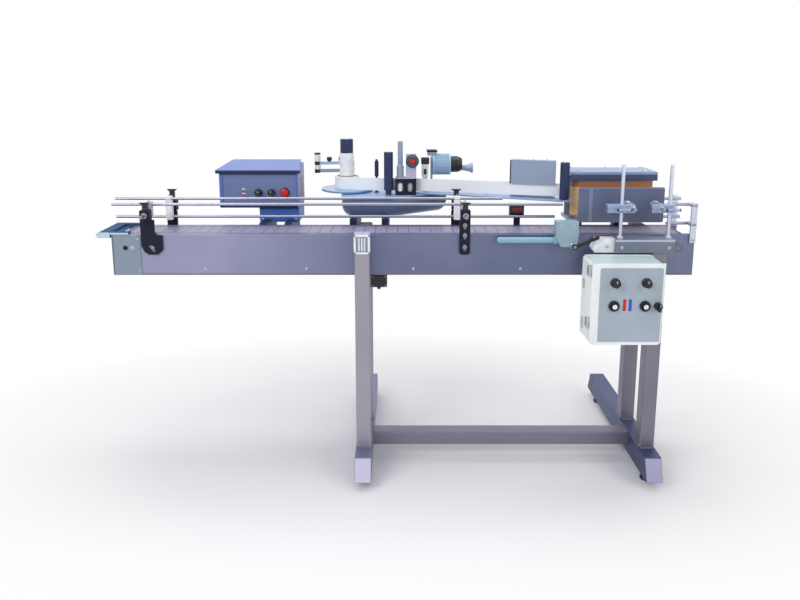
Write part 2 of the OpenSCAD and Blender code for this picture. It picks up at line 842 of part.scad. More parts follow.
module emergency_button() {
    x = emergency_x;
    inside = console_front + console_wall;
    face = console_front - emergency_travel - 1;
    color([0.85, 0.05, 0.08]) placed() {
        rod_y(face - emergency_head, face, x, console_control_z, emergency_radius);
        rod_y(face - 1, inside + 2, x, console_control_z, emergency_stem);
        rod_y(inside + knob_gap, inside + 3, x, console_control_z, emergency_stem + 3);
    }
}

// Reel, dancer and rollers on the deck
reel_setback = 155;
reel_place = [-185, head_front + reel_setback];
spindle_radius = 10;
platter_lift = 4;
platter_low = deck_top + platter_lift;
platter_thickness = 8;
web_low = platter_low + platter_thickness;
web_high = web_low + label_room;
core_radius = 38;
mandrel_radius = 27;
core_wall = 3;
reel_knob_radius = 24;
reel_knob_length = 52;
reel_knob_gap = 16;
dancer_setback = 270;
dancer_place = [-178, head_front + dancer_setback];
dancer_post_radius = 6;
dancer_hub_radius = 14;
dancer_arm_length = 130;
dancer_arm_angle = 187;
dancer_arm_width = 16;
dancer_arm_low = 56;
dancer_hub_height = 46;
dancer_bar_height = 12;
arm_inset = 2;
dancer_roller_radius = 12;
dancer_roller_low = 56;
dancer_roller_high = 134;
drive_setback = 65;
drive_place = [-27, head_front + drive_setback];
drive_shaft_radius = 8;
drive_roller_lift = 17;
drive_roller_low = deck_top + drive_roller_lift;
drive_roller_reach = 156;
drive_roller_high = deck_top + drive_roller_reach;
pinch_radius = 14;
pinch_pin_radius = 4;
collar_gap = 0.3;
web_front_y = drive_place[1] + drive_roller_radius + air_gap;
web_middle_y = web_front_y + web_thickness / 2;
pinch_place = [drive_place[0], web_front_y + web_thickness + air_gap + pinch_radius];
fork_roller_radius = 13;
fork_pin_radius = 3;
fork_roller_y = web_front_y - air_gap - fork_roller_radius;
fork_roller_x = [16, 52];
fork_x = [-2, 74];
fork_base = 6;
fork_gap_height = 53;
fork_wall = 4;
fork_post_radius = 7.5;
fork_post_reach = 196;
fork_post_top = deck_top + fork_post_reach;
pressure_x = 60;
pressure_lift = 125;
pressure_z = deck_top + pressure_lift;
pressure_knob_radius = 23.5;
pressure_knob_length = 20;
pressure_plate_half = 24;
pressure_plate_reach = 151;
pressure_plate_top = deck_top + pressure_plate_reach;
peel_offset = 30;
peel_place = [583, lane_middle + peel_offset];
peel_pin_radius = 5;
peel_arm_thickness = 5;
peel_arm_top = deck_top + peel_arm_thickness;
peel_collar_height = 2;
peel_roller_low = peel_arm_top + peel_collar_height;
peel_roller_overlap = 6;
peel_roller_high = web_high + peel_roller_overlap;
web_turn_x = 66;
guide_plate_start = 0.65;
guide_plate_end = 0.94;
guide_plate_gap = 8;
guide_plate_thickness = 4;
guide_plate_rise = 6;
guide_plate_drop = 80;
peel_root_x = 40;
peel_shoulder_x = 120;
peel_root_setback = [100, 128];
peel_root_y = [head_front + peel_root_setback[0], head_front + peel_root_setback[1]];
peel_tip = 22;

// Outline of the head casing, with its rounded front corner
corner_radius = 34;
head_left = -220;
head_right = 190;
head_corner = [-161, head_front + corner_radius];
head_front_end = -10;
head_right_setback = 145;
head_outline_points = concat(
    [for (a = [180 : 15 : 270]) head_corner + corner_radius * [cos(a), sin(a)]],
    [[head_front_end, head_front], [head_right, head_front + head_right_setback], [head_right, head_rear],
     [head_left, head_rear]]);

module head_housing() {
    color([0.13, 0.14, 0.26]) placed() difference() {
        translate([0, 0, housing_low]) linear_extrude(housing_height) polygon(head_outline_points);
        translate([0, 0, housing_low + housing_wall]) linear_extrude(housing_height)
            offset(delta = -housing_wall) polygon(head_outline_points);
    }
}

// Fixed pin on the deck with the collar that carries a roller or an arm
module deck_pin(place, radius, collar_top, top) {
    rod_z(deck_top - 1, top, place[0], place[1], radius);
    rod_z(deck_top - 1, collar_top - collar_gap, place[0], place[1], radius + 3);
}

module head_deck() {
    color([0.70, 0.72, 0.78]) placed() {
        difference() {
            translate([0, 0, housing_top]) linear_extrude(deck_thickness) polygon(head_outline_points);
            rod_z(housing_top - 1, deck_top + 1, reel_place[0], reel_place[1],
                  spindle_radius + running_clearance);
            rod_z(housing_top - 1, deck_top + 1, drive_place[0], drive_place[1],
                  drive_shaft_radius + running_clearance);
        }
        deck_pin(dancer_place, dancer_post_radius, deck_top + dancer_arm_low, deck_top + dancer_roller_high);
        deck_pin(pinch_place, pinch_pin_radius, web_low, web_high + 6);
    }
}

module reel() {
    x = reel_place[0];
    y = reel_place[1];
    color([0.72, 0.84, 0.94]) placed() {
        rod_z(housing_low + housing_wall + 1, web_high + reel_knob_gap, x, y, spindle_radius);
        rod_z(deck_top + collar_gap, platter_low, x, y, spindle_radius + 6);
        rod_z(platter_low, web_low, x, y, platter_radius);
        rod_z(web_low + label_height + collar_gap, web_high + reel_knob_gap, x, y, mandrel_radius);
        rod_z(web_high + reel_knob_gap, web_high + reel_knob_gap + reel_knob_length, x, y, reel_knob_radius);
    }
}

module label_roll() {
    color([0.97, 0.97, 0.98]) placed() translate([reel_place[0], reel_place[1], web_low]) difference() {
        cylinder(r = label_roll_radius, h = label_height);
        translate([0, 0, -1]) cylinder(r = core_radius, h = label_height + 2);
    }
    color([0.60, 0.50, 0.38]) placed() translate([reel_place[0], reel_place[1], web_low]) difference() {
        cylinder(r = core_radius, h = label_height);
        translate([0, 0, -1]) cylinder(r = spindle_radius + core_wall, h = label_height + 2);
    }
}

module dancer_arm() {
    low = deck_top + dancer_arm_low;
    high = low + dancer_hub_height;
    color([0.62, 0.70, 0.80]) placed() translate([dancer_place[0], dancer_place[1], 0]) difference() {
        union() {
            rod_z(low, high, 0, 0, dancer_hub_radius);
            rotate([0, 0, dancer_arm_angle]) {
                for (z = [low + arm_inset, high - arm_inset - dancer_bar_height])
                    block([dancer_hub_radius / 2, -dancer_arm_width / 2, z],
                          [dancer_arm_length, dancer_arm_width / 2, z + dancer_bar_height]);
                rod_z(deck_top + dancer_roller_low, deck_top + dancer_roller_high, dancer_arm_length, 0,
                      dancer_roller_radius);
            }
        }
        rod_z(low - 1, high + 1, 0, 0, dancer_post_radius + running_clearance);
    }
}

module drive_roller() {
    x = drive_place[0];
    y = drive_place[1];
    color([0.12, 0.14, 0.30]) placed() {
        rod_z(housing_low + housing_wall + 1, drive_roller_low, x, y, drive_shaft_radius);
        rod_z(deck_top + collar_gap, drive_roller_low, x, y, drive_shaft_radius + 3);
        rod_z(drive_roller_low, drive_roller_high, x, y, drive_roller_radius);
    }
}

// Plain roller with the bore of its pin
module bored_roller(place, low, high, radius, pin) {
    difference() {
        rod_z(low, high, place[0], place[1], radius);
        rod_z(low - 1, high + 1, place[0], place[1], pin + running_clearance);
    }
}

module pinch_roller() {
    color([0.75, 0.75, 0.80]) placed()
        bored_roller(pinch_place, web_low, web_high, pinch_radius, pinch_pin_radius);
}

fork_low = deck_top + fork_base;
fork_high = fork_low + fork_gap_height;
fork_front = fork_roller_y - fork_roller_radius - fork_wall;
fork_rear = web_front_y - 4;
fork_wall_x = [fork_x[0], (fork_x[0] + fork_x[1] - fork_wall) / 2, fork_x[1] - fork_wall];

module nip_fork() {
    color([0.10, 0.10, 0.13]) placed() difference() {
        union() {
            block([fork_x[0], fork_front, deck_top], [fork_x[1], fork_rear, fork_low]);
            block([fork_x[0], fork_front, fork_high], [fork_x[1], fork_rear, fork_high + fork_base]);
            for (x = fork_wall_x)
                block([x, fork_front, fork_low], [x + fork_wall, fork_rear, fork_high]);
            for (x = fork_roller_x) rod_z(fork_low - 1, fork_high + 1, x, fork_roller_y, fork_pin_radius);
            rod_z(fork_high + fork_base, fork_post_top, fork_roller_x[0], fork_roller_y, fork_post_radius);
            block([pressure_x - pressure_plate_half, fork_front, fork_high + fork_base],
                  [fork_x[1], fork_front + fork_wall, pressure_plate_top]);
        }
        rod_y(fork_front - 1, fork_front + fork_wall + 1, pressure_x, pressure_z,
              control_shaft_radius + running_clearance);
    }
}

module fork_roller(x) {
    color([0.90, 0.90, 0.92]) placed()
        bored_roller([x, fork_roller_y], fork_low + collar_gap, fork_high - collar_gap, fork_roller_radius,
                     fork_pin_radius);
}

module fork_roller_left() fork_roller(fork_roller_x[0]);
module fork_roller_right() fork_roller(fork_roller_x[1]);

module pressure_knob() {
    color([0.10, 0.12, 0.14]) placed()
        panel_knob(pressure_x, pressure_z, fork_front, fork_front + fork_wall, pressure_knob_radius,
                   pressure_knob_length, control_shaft_radius);
}

// Head motor on its bracket
head_motor_x = 137;
head_motor_setback = 135;
head_motor_lift = 101;
head_motor_y = head_rear - head_motor_setback;
head_motor_z = deck_top + head_motor_lift;
head_motor_body = 67;
head_motor_end = 44;
head_motor_cone = 41;
head_motor_end_radius = 30;
head_motor_cone_radius = [10, 20];
motor_bracket_thickness = 7;
motor_bracket_half = 27;

module head_motor() {
    x1 = head_motor_x + head_motor_body;
    x2 = x1 + head_motor_end;
    color([0.55, 0.62, 0.70]) placed() {
        block([head_motor_x - motor_bracket_thickness, head_motor_y - motor_bracket_half, deck_top],
              [head_motor_x, head_motor_y + motor_bracket_half, head_motor_z + motor_bracket_half]);
        rod_x(head_motor_x, x1, head_motor_y, head_motor_z, head_motor_radius);
        rod_x(x1, x2, head_motor_y, head_motor_z, head_motor_end_radius);
        translate([x2, head_motor_y, head_motor_z]) rotate([0, 90, 0])
            cylinder(r1 = head_motor_cone_radius[0], r2 = head_motor_cone_radius[1], h = head_motor_cone);
    }
}

// Run of the label web: off the roll, through the nip, and over to the peel roller
web_turn = [web_turn_x, web_middle_y];
web_nip = [drive_place[0], web_middle_y];
roll_reach = label_roll_radius + air_gap + web_thickness / 2;
to_nip = web_nip - reel_place;
nip_angle = atan2(to_nip[1], to_nip[0]) + asin(roll_reach / norm(to_nip));
web_off_roll = web_nip - sqrt(norm(to_nip) ^ 2 - roll_reach ^ 2) * [cos(nip_angle), sin(nip_angle)];
to_peel = (peel_place - web_turn) / norm(peel_place - web_turn);
peel_reach = peel_roller_radius + air_gap + web_thickness / 2;
web_end = peel_place + peel_reach * [-to_peel[1], to_peel[0]];

// Upright strip from one point to another, centred on the line between them
module upright_strip(from, to, thickness, low, high) {
    run = to - from;
    translate([from[0], from[1], low]) rotate([0, 0, atan2(run[1], run[0])])
        translate([0, -thickness / 2, 0]) cube([norm(run), thickness, high - low]);
}

// Square-on direction of one leg of a path, and the mitre at one of its points
function leg_normal(path, i) = let(run = path[i + 1] - path[i]) [-run[1], run[0]] / norm(run);
function mitre(path, i) =
    i == 0 ? leg_normal(path, 0) :
    i == len(path) - 1 ? leg_normal(path, i - 1) :
    let(sum = leg_normal(path, i - 1) + leg_normal(path, i)) 2 * sum / (sum * sum);

module label_web() {
    path = [web_off_roll, web_nip, web_turn, web_end];
    last = len(path) - 1;
    half = web_thickness / 2;
    color([0.98, 0.98, 0.98]) placed() translate([0, 0, web_low]) linear_extrude(label_height)
        polygon(concat([for (i = [0 : last]) path[i] + half * mitre(path, i)],
                       [for (i = [last : -1 : 0]) path[i] - half * mitre(path, i)]));
}

module peel_arm() {
    from = web_turn + guide_plate_start * (web_end - web_turn);
    to = web_turn + guide_plate_end * (web_end - web_turn);
    side = [-to_peel[1], to_peel[0]] * (guide_plate_gap + guide_plate_thickness / 2);
    guide_top = web_high + guide_plate_rise;
    color([0.58, 0.64, 0.74]) placed() {
        translate([0, 0, deck_top]) linear_extrude(peel_arm_thickness)
            polygon([[peel_root_x, peel_root_y[0]], [peel_root_x, peel_root_y[1]],
                     [peel_shoulder_x, peel_root_y[1]], peel_place + [peel_tip, peel_tip * 2],
                     peel_place + [peel_tip, -peel_tip], peel_place + [-peel_tip, -peel_tip]]);
        rod_z(peel_arm_top - 1, peel_roller_high + 4, peel_place[0], peel_place[1], peel_pin_radius);
        rod_z(peel_arm_top - 1, peel_roller_low - collar_gap, peel_place[0], peel_place[1],
              peel_pin_radius + 4);
        upright_strip(from + side, to + side, guide_plate_thickness, peel_arm_top - 1, guide_top + 1);
        upright_strip(from - side, to - side, guide_plate_thickness, guide_top - guide_plate_drop,
                      guide_top + 1);
        upright_strip(from, to, guide_plate_gap * 2 + guide_plate_thickness * 2, guide_top,
                      guide_top + guide_plate_thickness);
    }
}

module peel_roller() {
    color([0.14, 0.18, 0.40]) placed()
        bored_roller(peel_place, peel_roller_low, peel_roller_high, peel_roller_radius, peel_pin_radius);
}

// Wrap station: shelf, posts, pressure pad and their clamps in front of the chain
shelf_x = [717, 915];
shelf_depth = 60;
shelf_sink = 5;
shelf_top = chain_height - shelf_sink;
side_block_x = 645;
side_block_front = -50;
side_block_back = -10;
pad_post_x = [740, 898];
pad_post_y = -30;
pad_post_reach = 240;
pad_post_top = chain_height + pad_post_reach;
pad_left = 613;
pad_lift = 36;
pad_low = chain_height + pad_lift;
pad_plate_y = 24;
pad_plate_thickness = 4;
pad_rod_lift = 94;
pad_rod_z = chain_height + pad_rod_lift;
pad_rod_offset = 32;
pad_rod_front = -70;
pad_rod_x = [pad_post_x[0] + pad_rod_offset, pad_post_x[1] - pad_rod_offset];
pad_clamp_margin = 10;
pad_clamp_tail = [40, 21];
pad_clamp_half = 14;
pad_handle_stud = 4;
pad_handle_length = 20;
pad_handle_bar = 46;
pad_handle_bar_radius = 5;

module pad_shelf() {
    color([0.80, 0.83, 0.84]) placed() {
        block([shelf_x[0], -shelf_depth, shelf_bottom], [shelf_x[1], 0, shelf_top]);
        block([side_block_x, side_block_front, shelf_bottom], [shelf_x[0], side_block_back, shelf_top]);
        for (x = pad_post_x) rod_z(shelf_top - 1, pad_post_top, x, pad_post_y, pad_post_radius);
        difference() {
            for (i = [0, 1]) {
                x0 = min(pad_post_x[i], pad_rod_x[i]) - pad_clamp_margin - pad_clamp_tail[i];
                x1 = max(pad_post_x[i], pad_rod_x[i]) + pad_clamp_margin;
                block([x0, pad_post_y - pad_clamp_half, pad_rod_z - pad_clamp_half],
                      [x1, pad_post_y + pad_clamp_half, pad_rod_z + pad_clamp_half]);
            }
            for (x = pad_rod_x)
                rod_y(pad_post_y - pad_clamp_half - 1, pad_post_y + pad_clamp_half + 1, x, pad_rod_z,
                      cross_rod_radius + running_clearance);
            for (x = pad_post_x)
                rod_y(pad_post_y - pad_clamp_half - 1, pad_post_y - pad_post_radius - 1, x, pad_rod_z,
                      pad_handle_stud + running_clearance);
        }
    }
}

module pressure_pad() {
    plate_back = pad_plate_y + pad_plate_thickness;
    color([0.46, 0.46, 0.56]) placed() {
        block([pad_left, pad_plate_y, pad_low], [pad_left + pad_length, plate_back, pad_low + pad_height]);
        block([pad_left, plate_back, pad_low],
              [pad_left + pad_length, plate_back + foam_thickness, pad_low + pad_height]);
        for (x = pad_rod_x) rod_y(pad_rod_front, pad_plate_y, x, pad_rod_z, cross_rod_radius);
    }
}

// T handle that pinches a cross clamp on its post
module pad_handle(x) {
    face = pad_post_y - pad_clamp_half;
    color([0.70, 0.71, 0.74]) placed() {
        rod_y(face - pad_handle_length, pad_post_y - pad_post_radius - 2, x, pad_rod_z, pad_handle_stud);
        rod_x(x - pad_handle_bar / 2, x + pad_handle_bar / 2, face - pad_handle_length, pad_rod_z,
              pad_handle_bar_radius);
    }
}

module pad_handle_left() pad_handle(pad_post_x[0]);
module pad_handle_right() pad_handle(pad_post_x[1]);

// Clamp on the front plate with its bar and lever
clamp_x = [528, 601];
clamp_rise = 50;
clamp_top = chain_height + clamp_rise;
clamp_drop = 34;
clamp_low = chain_height - clamp_drop;
clamp_front = -40;
clamp_bar_x = 346;
clamp_bar_drop = 15;
clamp_bar_z = chain_height - clamp_bar_drop;
clamp_bar_radius = 10;
lever_drop = 30;
lever_place = [586, chain_height - lever_drop];
lever_pin_radius = 5;
lever_pin_front = -64;
lever_y = [-62, -54];
lever_hub_radius = 9;
lever_length = 84;
lever_width = 10;
lever_angle = 24;

module side_clamp() {
    chamfer = 17;
    color([0.56, 0.66, 0.74]) placed() {
        plate_xz(clamp_front, 0)
            polygon([[clamp_x[0], clamp_top], [clamp_x[1], clamp_top], [clamp_x[1], clamp_low + chamfer * 2],
                     [clamp_x[1] - chamfer / 4, clamp_low], [clamp_x[0] + chamfer, clamp_low],
                     [clamp_x[0], clamp_low + chamfer * 2]]);
        rod_x(clamp_bar_x, clamp_x[0] + chamfer, clamp_front / 2, clamp_bar_z, clamp_bar_radius);
        translate([clamp_bar_x, clamp_front / 2, clamp_bar_z]) sphere(r = clamp_bar_radius);
        rod_y(lever_pin_front, clamp_front + 1, lever_place[0], lever_place[1], lever_pin_radius);
        rod_y(lever_y[1] + collar_gap, clamp_front + 1, lever_place[0], lever_place[1], lever_hub_radius);
    }
}

module clamp_lever() {
    color([0.07, 0.07, 0.10]) placed() difference() {
        union() {
            rod_y(lever_y[0], lever_y[1], lever_place[0], lever_place[1], lever_hub_radius);
            translate([lever_place[0], 0, lever_place[1]]) rotate([0, -lever_angle, 0])
                block([lever_hub_radius - arm_inset, lever_y[0] + 1, -lever_width / 2],
                      [lever_length, lever_y[1] - 1, lever_width / 2]);
        }
        rod_y(lever_y[0] - 1, lever_y[1] + 1, lever_place[0], lever_place[1],
              lever_pin_radius + running_clearance);
    }
}

module wrap_belt() {
    outer = belt_roller_radius + belt_thickness;
    color([0.78, 0.58, 0.36]) placed() translate([0, belt_axis_y, belt_low]) difference() {
        union() {
            for (x = belt_axis_x) translate([x, 0, 0]) cylinder(r = outer, h = belt_height);
            block([belt_axis_x[0], -outer, 0], [belt_axis_x[1], outer, belt_height]);
        }
        for (x = belt_axis_x) translate([x, 0, -1]) cylinder(r = belt_roller_radius, h = belt_height + 2);
        block([belt_axis_x[0], -belt_roller_radius, -1],
              [belt_axis_x[1], belt_roller_radius, belt_height + 1]);
    }
}

belt_pin_radius = 8;
belt_wall_thickness = 6;
belt_wall_gap = 16;
belt_wall_y = belt_axis_y + belt_roller_radius + belt_thickness + belt_wall_gap;

module belt_unit() {
    floor_top = belt_unit_low + belt_floor_thickness;
    color([0.50, 0.56, 0.68]) placed() {
        block([belt_unit_x[0], belt_front + 2, belt_unit_low], [belt_unit_x[1], belt_unit_back, floor_top]);
        block([belt_unit_x[0], belt_front - 5, belt_cover_low],
              [belt_unit_x[1], belt_unit_back, belt_cover_low + belt_cover_thickness]);
        block([belt_unit_x[0], belt_wall_y, floor_top],
              [belt_unit_x[1], belt_wall_y + belt_wall_thickness, belt_cover_low]);
        for (x = belt_axis_x) {
            rod_z(floor_top - 1, belt_cover_low + 1, x, belt_axis_y, belt_pin_radius);
            rod_z(floor_top - 1, belt_low + 1 - collar_gap, x, belt_axis_y, belt_pin_radius + 6);
        }
    }
}

module belt_roller(x) {
    color([0.60, 0.60, 0.66]) placed()
        bored_roller([x, belt_axis_y], belt_low + 1, belt_low + belt_height - 1, belt_roller_radius - air_gap,
                     belt_pin_radius);
}

module belt_idler_roller() belt_roller(belt_axis_x[0]);
module belt_drive_roller() belt_roller(belt_axis_x[1]);

floor_frame();
leg_posts();
levelling_feet();
side_plates();
infeed_plates();
chain_supports();
chain_top_run();
chain_return();
drive_shaft();
idler_shaft();
shaft_bearings();
drive_gearmotor();
junction_box();
guide_brackets();
front_guide_rail();
rear_guide_rails();
outfeed_guides();
front_left_knob();
front_right_knob();
rear_left_knob();
rear_right_knob();
control_box();
control_door();
left_speed_knob();
right_speed_knob();
start_button();
stop_button();
isolator_knob();
support_arms();
console_base();
console_body();
console_roof();
console_left_knob();
console_right_knob();
emergency_button();
head_housing();
head_deck();
reel();
label_roll();
dancer_arm();
drive_roller();
pinch_roller();
nip_fork();
fork_roller_left();
fork_roller_right();
pressure_knob();
head_motor();
peel_arm();
peel_roller();
label_web();
pad_shelf();
pressure_pad();
pad_handle_left();
pad_handle_right();
side_clamp();
clamp_lever();
wrap_belt();
belt_unit();
belt_drive_roller();
belt_idler_roller();
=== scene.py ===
# %% [markdown]
# A wrap-around labelling machine, dressed for its portrait.
# The imported frame holds every body and solid of the machine in metres, with +Z up and +X along
# the conveyor. The lesson loads it once.

import math
from itertools import product

import bmesh
import bpy
from mathutils import Matrix, Vector


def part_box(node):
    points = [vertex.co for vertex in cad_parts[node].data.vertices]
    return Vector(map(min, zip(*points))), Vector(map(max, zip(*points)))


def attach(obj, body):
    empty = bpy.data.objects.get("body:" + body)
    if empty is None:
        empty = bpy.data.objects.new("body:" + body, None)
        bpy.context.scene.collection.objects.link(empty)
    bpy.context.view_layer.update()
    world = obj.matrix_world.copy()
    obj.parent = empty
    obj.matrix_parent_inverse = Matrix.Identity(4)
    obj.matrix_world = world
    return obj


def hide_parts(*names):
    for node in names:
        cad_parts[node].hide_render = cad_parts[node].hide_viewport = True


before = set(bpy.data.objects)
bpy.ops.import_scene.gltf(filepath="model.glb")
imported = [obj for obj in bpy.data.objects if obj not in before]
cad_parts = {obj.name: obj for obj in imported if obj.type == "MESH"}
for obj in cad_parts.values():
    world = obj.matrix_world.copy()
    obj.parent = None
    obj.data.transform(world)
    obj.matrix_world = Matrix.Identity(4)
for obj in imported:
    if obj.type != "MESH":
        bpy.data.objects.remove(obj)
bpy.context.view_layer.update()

# %% [markdown]
# Drawings of such a machine are dimensioned in millimetres from the front face of the conveyor,
# so places in this lesson are too. One function turns such a place into a point of the frame,
# and another reads the corners of a solid in the same measure. Six names stand for directions,
# as the operator in front of the machine would call them.

# %% Places in millimetres
MM = 0.001
FRONT_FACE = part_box("side_plates")[0].y
TO_RIGHT, TO_LEFT = (1, 0, 0), (-1, 0, 0)
TO_BACK, TO_FRONT = (0, 1, 0), (0, -1, 0)
UP, DOWN = (0, 0, 1), (0, 0, -1)


def at(x, y, z):
    """Point of the frame: along the conveyor, behind its front face, above the floor."""
    return Vector((x * MM, FRONT_FACE + y * MM, z * MM))


def span(node):
    """Lowest and highest corner of a solid, in the same millimetres."""
    shift = Vector((0, FRONT_FACE, 0))
    low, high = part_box(node)
    return (low - shift) / MM, (high - shift) / MM


CHAIN_TOP = span("chain_top_run")[1].z
print("chain runs", round(CHAIN_TOP), "mm above the floor")

# %% [markdown]
# A finish is a node sheet, and node sheets are hard to read as lists of links. Here a small
# class wraps a socket, so that sums and products of sockets are written as plain maths and
# each sign adds one Math node. The reflected forms let a number stand on the left.


# %% Shader maths
class Value:
    """A socket of a node sheet that can be added and scaled like a number."""

    def __init__(self, sheet, socket):
        self.sheet = sheet
        self.socket = socket

    def maths(self, operation, left, right):
        return self.sheet.node("ShaderNodeMath", {"operation": operation}, {0: left, 1: right})

    def __add__(self, other):
        return self.maths("ADD", self, other)

    def __radd__(self, other):
        return self.maths("ADD", other, self)

    def __sub__(self, other):
        return self.maths("SUBTRACT", self, other)

    def __rsub__(self, other):
        return self.maths("SUBTRACT", other, self)

    def __mul__(self, other):
        return self.maths("MULTIPLY", self, other)

    def __rmul__(self, other):
        return self.maths("MULTIPLY", other, self)


print("socket maths ready")

# %% [markdown]
# A sheet keeps one method that adds any node: its type, its settings, which are set first, and
# what goes into its sockets. A finish is the sheet of one material, and adds the few nodes that
# every finish of the machine shares: noise, a blend of two colours, a ramp and a bump.


# %% Node sheets and finishes
class Sheet:
    """A node sheet that is written through one method, which adds any node."""

    def __init__(self, tree):
        self.tree = tree

    def feed(self, socket, value):
        if isinstance(value, Value):
            self.tree.links.new(value.socket, socket)
        else:
            socket.default_value = value

    def node(self, kind, settings=None, sockets=None, out=0):
        made = self.tree.nodes.new(kind)
        for key, setting in (settings or {}).items():
            setattr(made, key, setting)
        for key, value in (sockets or {}).items():
            self.feed(made.inputs[key], value)
        return Value(self, made.outputs[out])


MIX_FACTOR, MIX_FIRST, MIX_SECOND, MIX_RESULT = 0, 6, 7, 2


class Finish(Sheet):
    """The sheet of one material."""

    def __init__(self, name):
        self.material = bpy.data.materials.new(name)
        self.material.use_nodes = True
        super().__init__(self.material.node_tree)
        self.surface = self.tree.nodes["Principled BSDF"]

    def here(self):
        return self.node("ShaderNodeTexCoord", out="Object")

    def places(self, stretch=(1, 1, 1)):
        """Coordinates of the piece in metres, stretched along its axes."""
        return self.node("ShaderNodeMapping", None, {"Vector": self.here(), "Scale": stretch})

    def noise(self, scale, detail=3.0, stretch=(1, 1, 1)):
        return self.node("ShaderNodeTexNoise", None,
                         {"Vector": self.places(stretch), "Scale": scale, "Detail": detail})

    def cells(self, scale):
        return self.node("ShaderNodeTexVoronoi", None, {"Vector": self.places(), "Scale": scale})

    def vector(self, operation, first, second=(0, 0, 0), out="Vector"):
        return self.node("ShaderNodeVectorMath", {"operation": operation}, {0: first, 1: second}, out)

    def blend(self, factor, first, second):
        return self.node("ShaderNodeMix", {"data_type": "RGBA"},
                         {MIX_FACTOR: factor, MIX_FIRST: first, MIX_SECOND: second}, MIX_RESULT)

    def ramp(self, value, low, high):
        """Stretch a value so that low becomes 0 and high becomes 1."""
        return self.node("ShaderNodeMapRange", None, {"Value": value, "From Min": low, "From Max": high})

    def bump(self, height, depth, strength=0.5):
        return self.node("ShaderNodeBump", None,
                         {"Height": height, "Distance": depth * MM, "Strength": strength})

    def edges(self, reach):
        """Near 1 on rounded edges, 0 on flats: a rounded normal set against the true one."""
        soft = self.node("ShaderNodeBevel", {"samples": 4}, {"Radius": reach * MM})
        true = self.node("ShaderNodeNewGeometry", out="Normal")
        return self.ramp(1 - self.vector("DOT_PRODUCT", soft, true, "Value"), 0.02, 0.25)

    def dress(self, colour, roughness, **others):
        self.feed(self.surface.inputs["Base Color"], colour)
        self.feed(self.surface.inputs["Roughness"], roughness)
        for key, value in others.items():
            self.feed(self.surface.inputs[key.replace("_", " ")], value)
        return self.material


def paint(red, green, blue):
    """Linear colour of a paint chip that is read in the usual 0 to 255 steps."""
    chip = [v / 255 for v in (red, green, blue)]
    return (*[v / 12.92 if v < 0.04 else ((v + 0.055) / 1.055) ** 2.4 for v in chip], 1.0)


def shade(colour, share):
    """The same colour, darker or lighter by a share."""
    return (*[min(1.0, v * share) for v in colour[:3]], 1.0)


print("finish tools ready")

# %% [markdown]
# Most of the machine is sheet and tube of brushed stainless steel with a cool, lavender cast.
# A picture of scratches would show its tiles, so the brushing is noise that is pulled out long
# in the direction of the grain. It tints the steel, changes its gloss and lifts it a little.
# Some long pieces are also painted darker towards their right end: painted reflection and painted shade, not
# a change in the steel.

# %% Brushed and drawn steel
GRAIN = {"x": (5, 700, 700), "y": (700, 5, 700), "z": (700, 700, 5)}
DARK_GRAIN, LIGHT_GRAIN = 0.84, 1.12


def brushed(name, chip, along, roughness=0.36, metal=0.8, painted_light_sweep=None, shine=0.5):
    """Grain along an axis. A painted light sweep is a second, darker colour painted in between two places in
    X, standing in for reflection and shade.
    """
    finish = Finish(name)
    streak = finish.noise(1.0, 2.0, GRAIN[along])
    cloud = finish.ramp(finish.noise(4.0, 2.0), 0.3, 0.7)
    smear = finish.ramp(finish.noise(17.0, 5.0), 0.52, 0.8)

    def grained(colour):
        return finish.blend(streak, shade(colour, DARK_GRAIN), shade(colour, LIGHT_GRAIN))

    tone = grained(paint(*chip))
    # Painted reflection and shade: a darker copy of the steel is blended in along X.
    if painted_light_sweep:
        stain_and_painted_shade, start, end = painted_light_sweep
        along_x = finish.node("ShaderNodeSeparateXYZ", None, {0: finish.here()}, "X")
        tone = finish.blend(finish.ramp(along_x + 0.12 * cloud, start, end), tone, grained(paint(*stain_and_painted_shade)))
    mottled_tone = finish.blend(cloud * 0.35, tone, shade(paint(*chip), 0.8))
    gloss = roughness + 0.16 * streak + 0.10 * smear
    return finish.dress(mottled_tone, gloss, Metallic=metal, Specular_IOR_Level=shine,
                        Normal=finish.bump(streak, 0.05, 0.35))


# Four steels are painted darker towards the right: the side plates with a painted reflection, the right posts
# with painted shade under the control box, the right foot bar and its end plates with painted shade.
sheet_steel = brushed("sheet_steel", (156, 158, 188), "x", painted_light_sweep=((106, 114, 142), -0.5, 0.0))
end_steel = brushed("end_steel", (140, 153, 170), "z", 0.42, 0.6)
# The nose is one stainless plate in two copies: a dark, dull one with the dark reflection of its top painted
# in, and a bright one on its front faces, a painted highlight.
nose_shaded_steel = brushed("nose_shaded_steel", (60, 86, 130), "y", 0.55, 0.1, shine=0.1)
nose_lit_steel = brushed("nose_lit_steel", (196, 220, 232), "y", 0.3, 0.5)
tube_steel = brushed("tube_steel", (164, 161, 172), "z", painted_light_sweep=((126, 123, 138), 0.1, 0.8))
beam_steel = brushed("beam_steel", (136, 134, 152), "x")
bar_steel = brushed("bar_steel", (134, 137, 166), "y", painted_light_sweep=((74, 86, 122), 0.2, 0.6))
foot_plate = brushed("foot_plate", (200, 197, 224), "x", 0.45, 0.3, ((160, 157, 192), 0.2, 0.6))
bright_steel = brushed("bright_steel", (158, 159, 174), "x", 0.2, 0.9)
post_steel = brushed("post_steel", (220, 226, 242), "z", 0.22, 0.9)
deck_steel = brushed("deck_steel", (154, 178, 214), "x", 0.4, 0.45)
zinc = brushed("zinc", (196, 198, 206), "z", 0.3, 0.85)
clamp_steel = brushed("clamp_steel", (155, 171, 200), "x", 0.34, 0.75)
cut_steel = brushed("cut_steel", (118, 120, 132), "y", 0.45, 0.7)
print("brushed steels made")

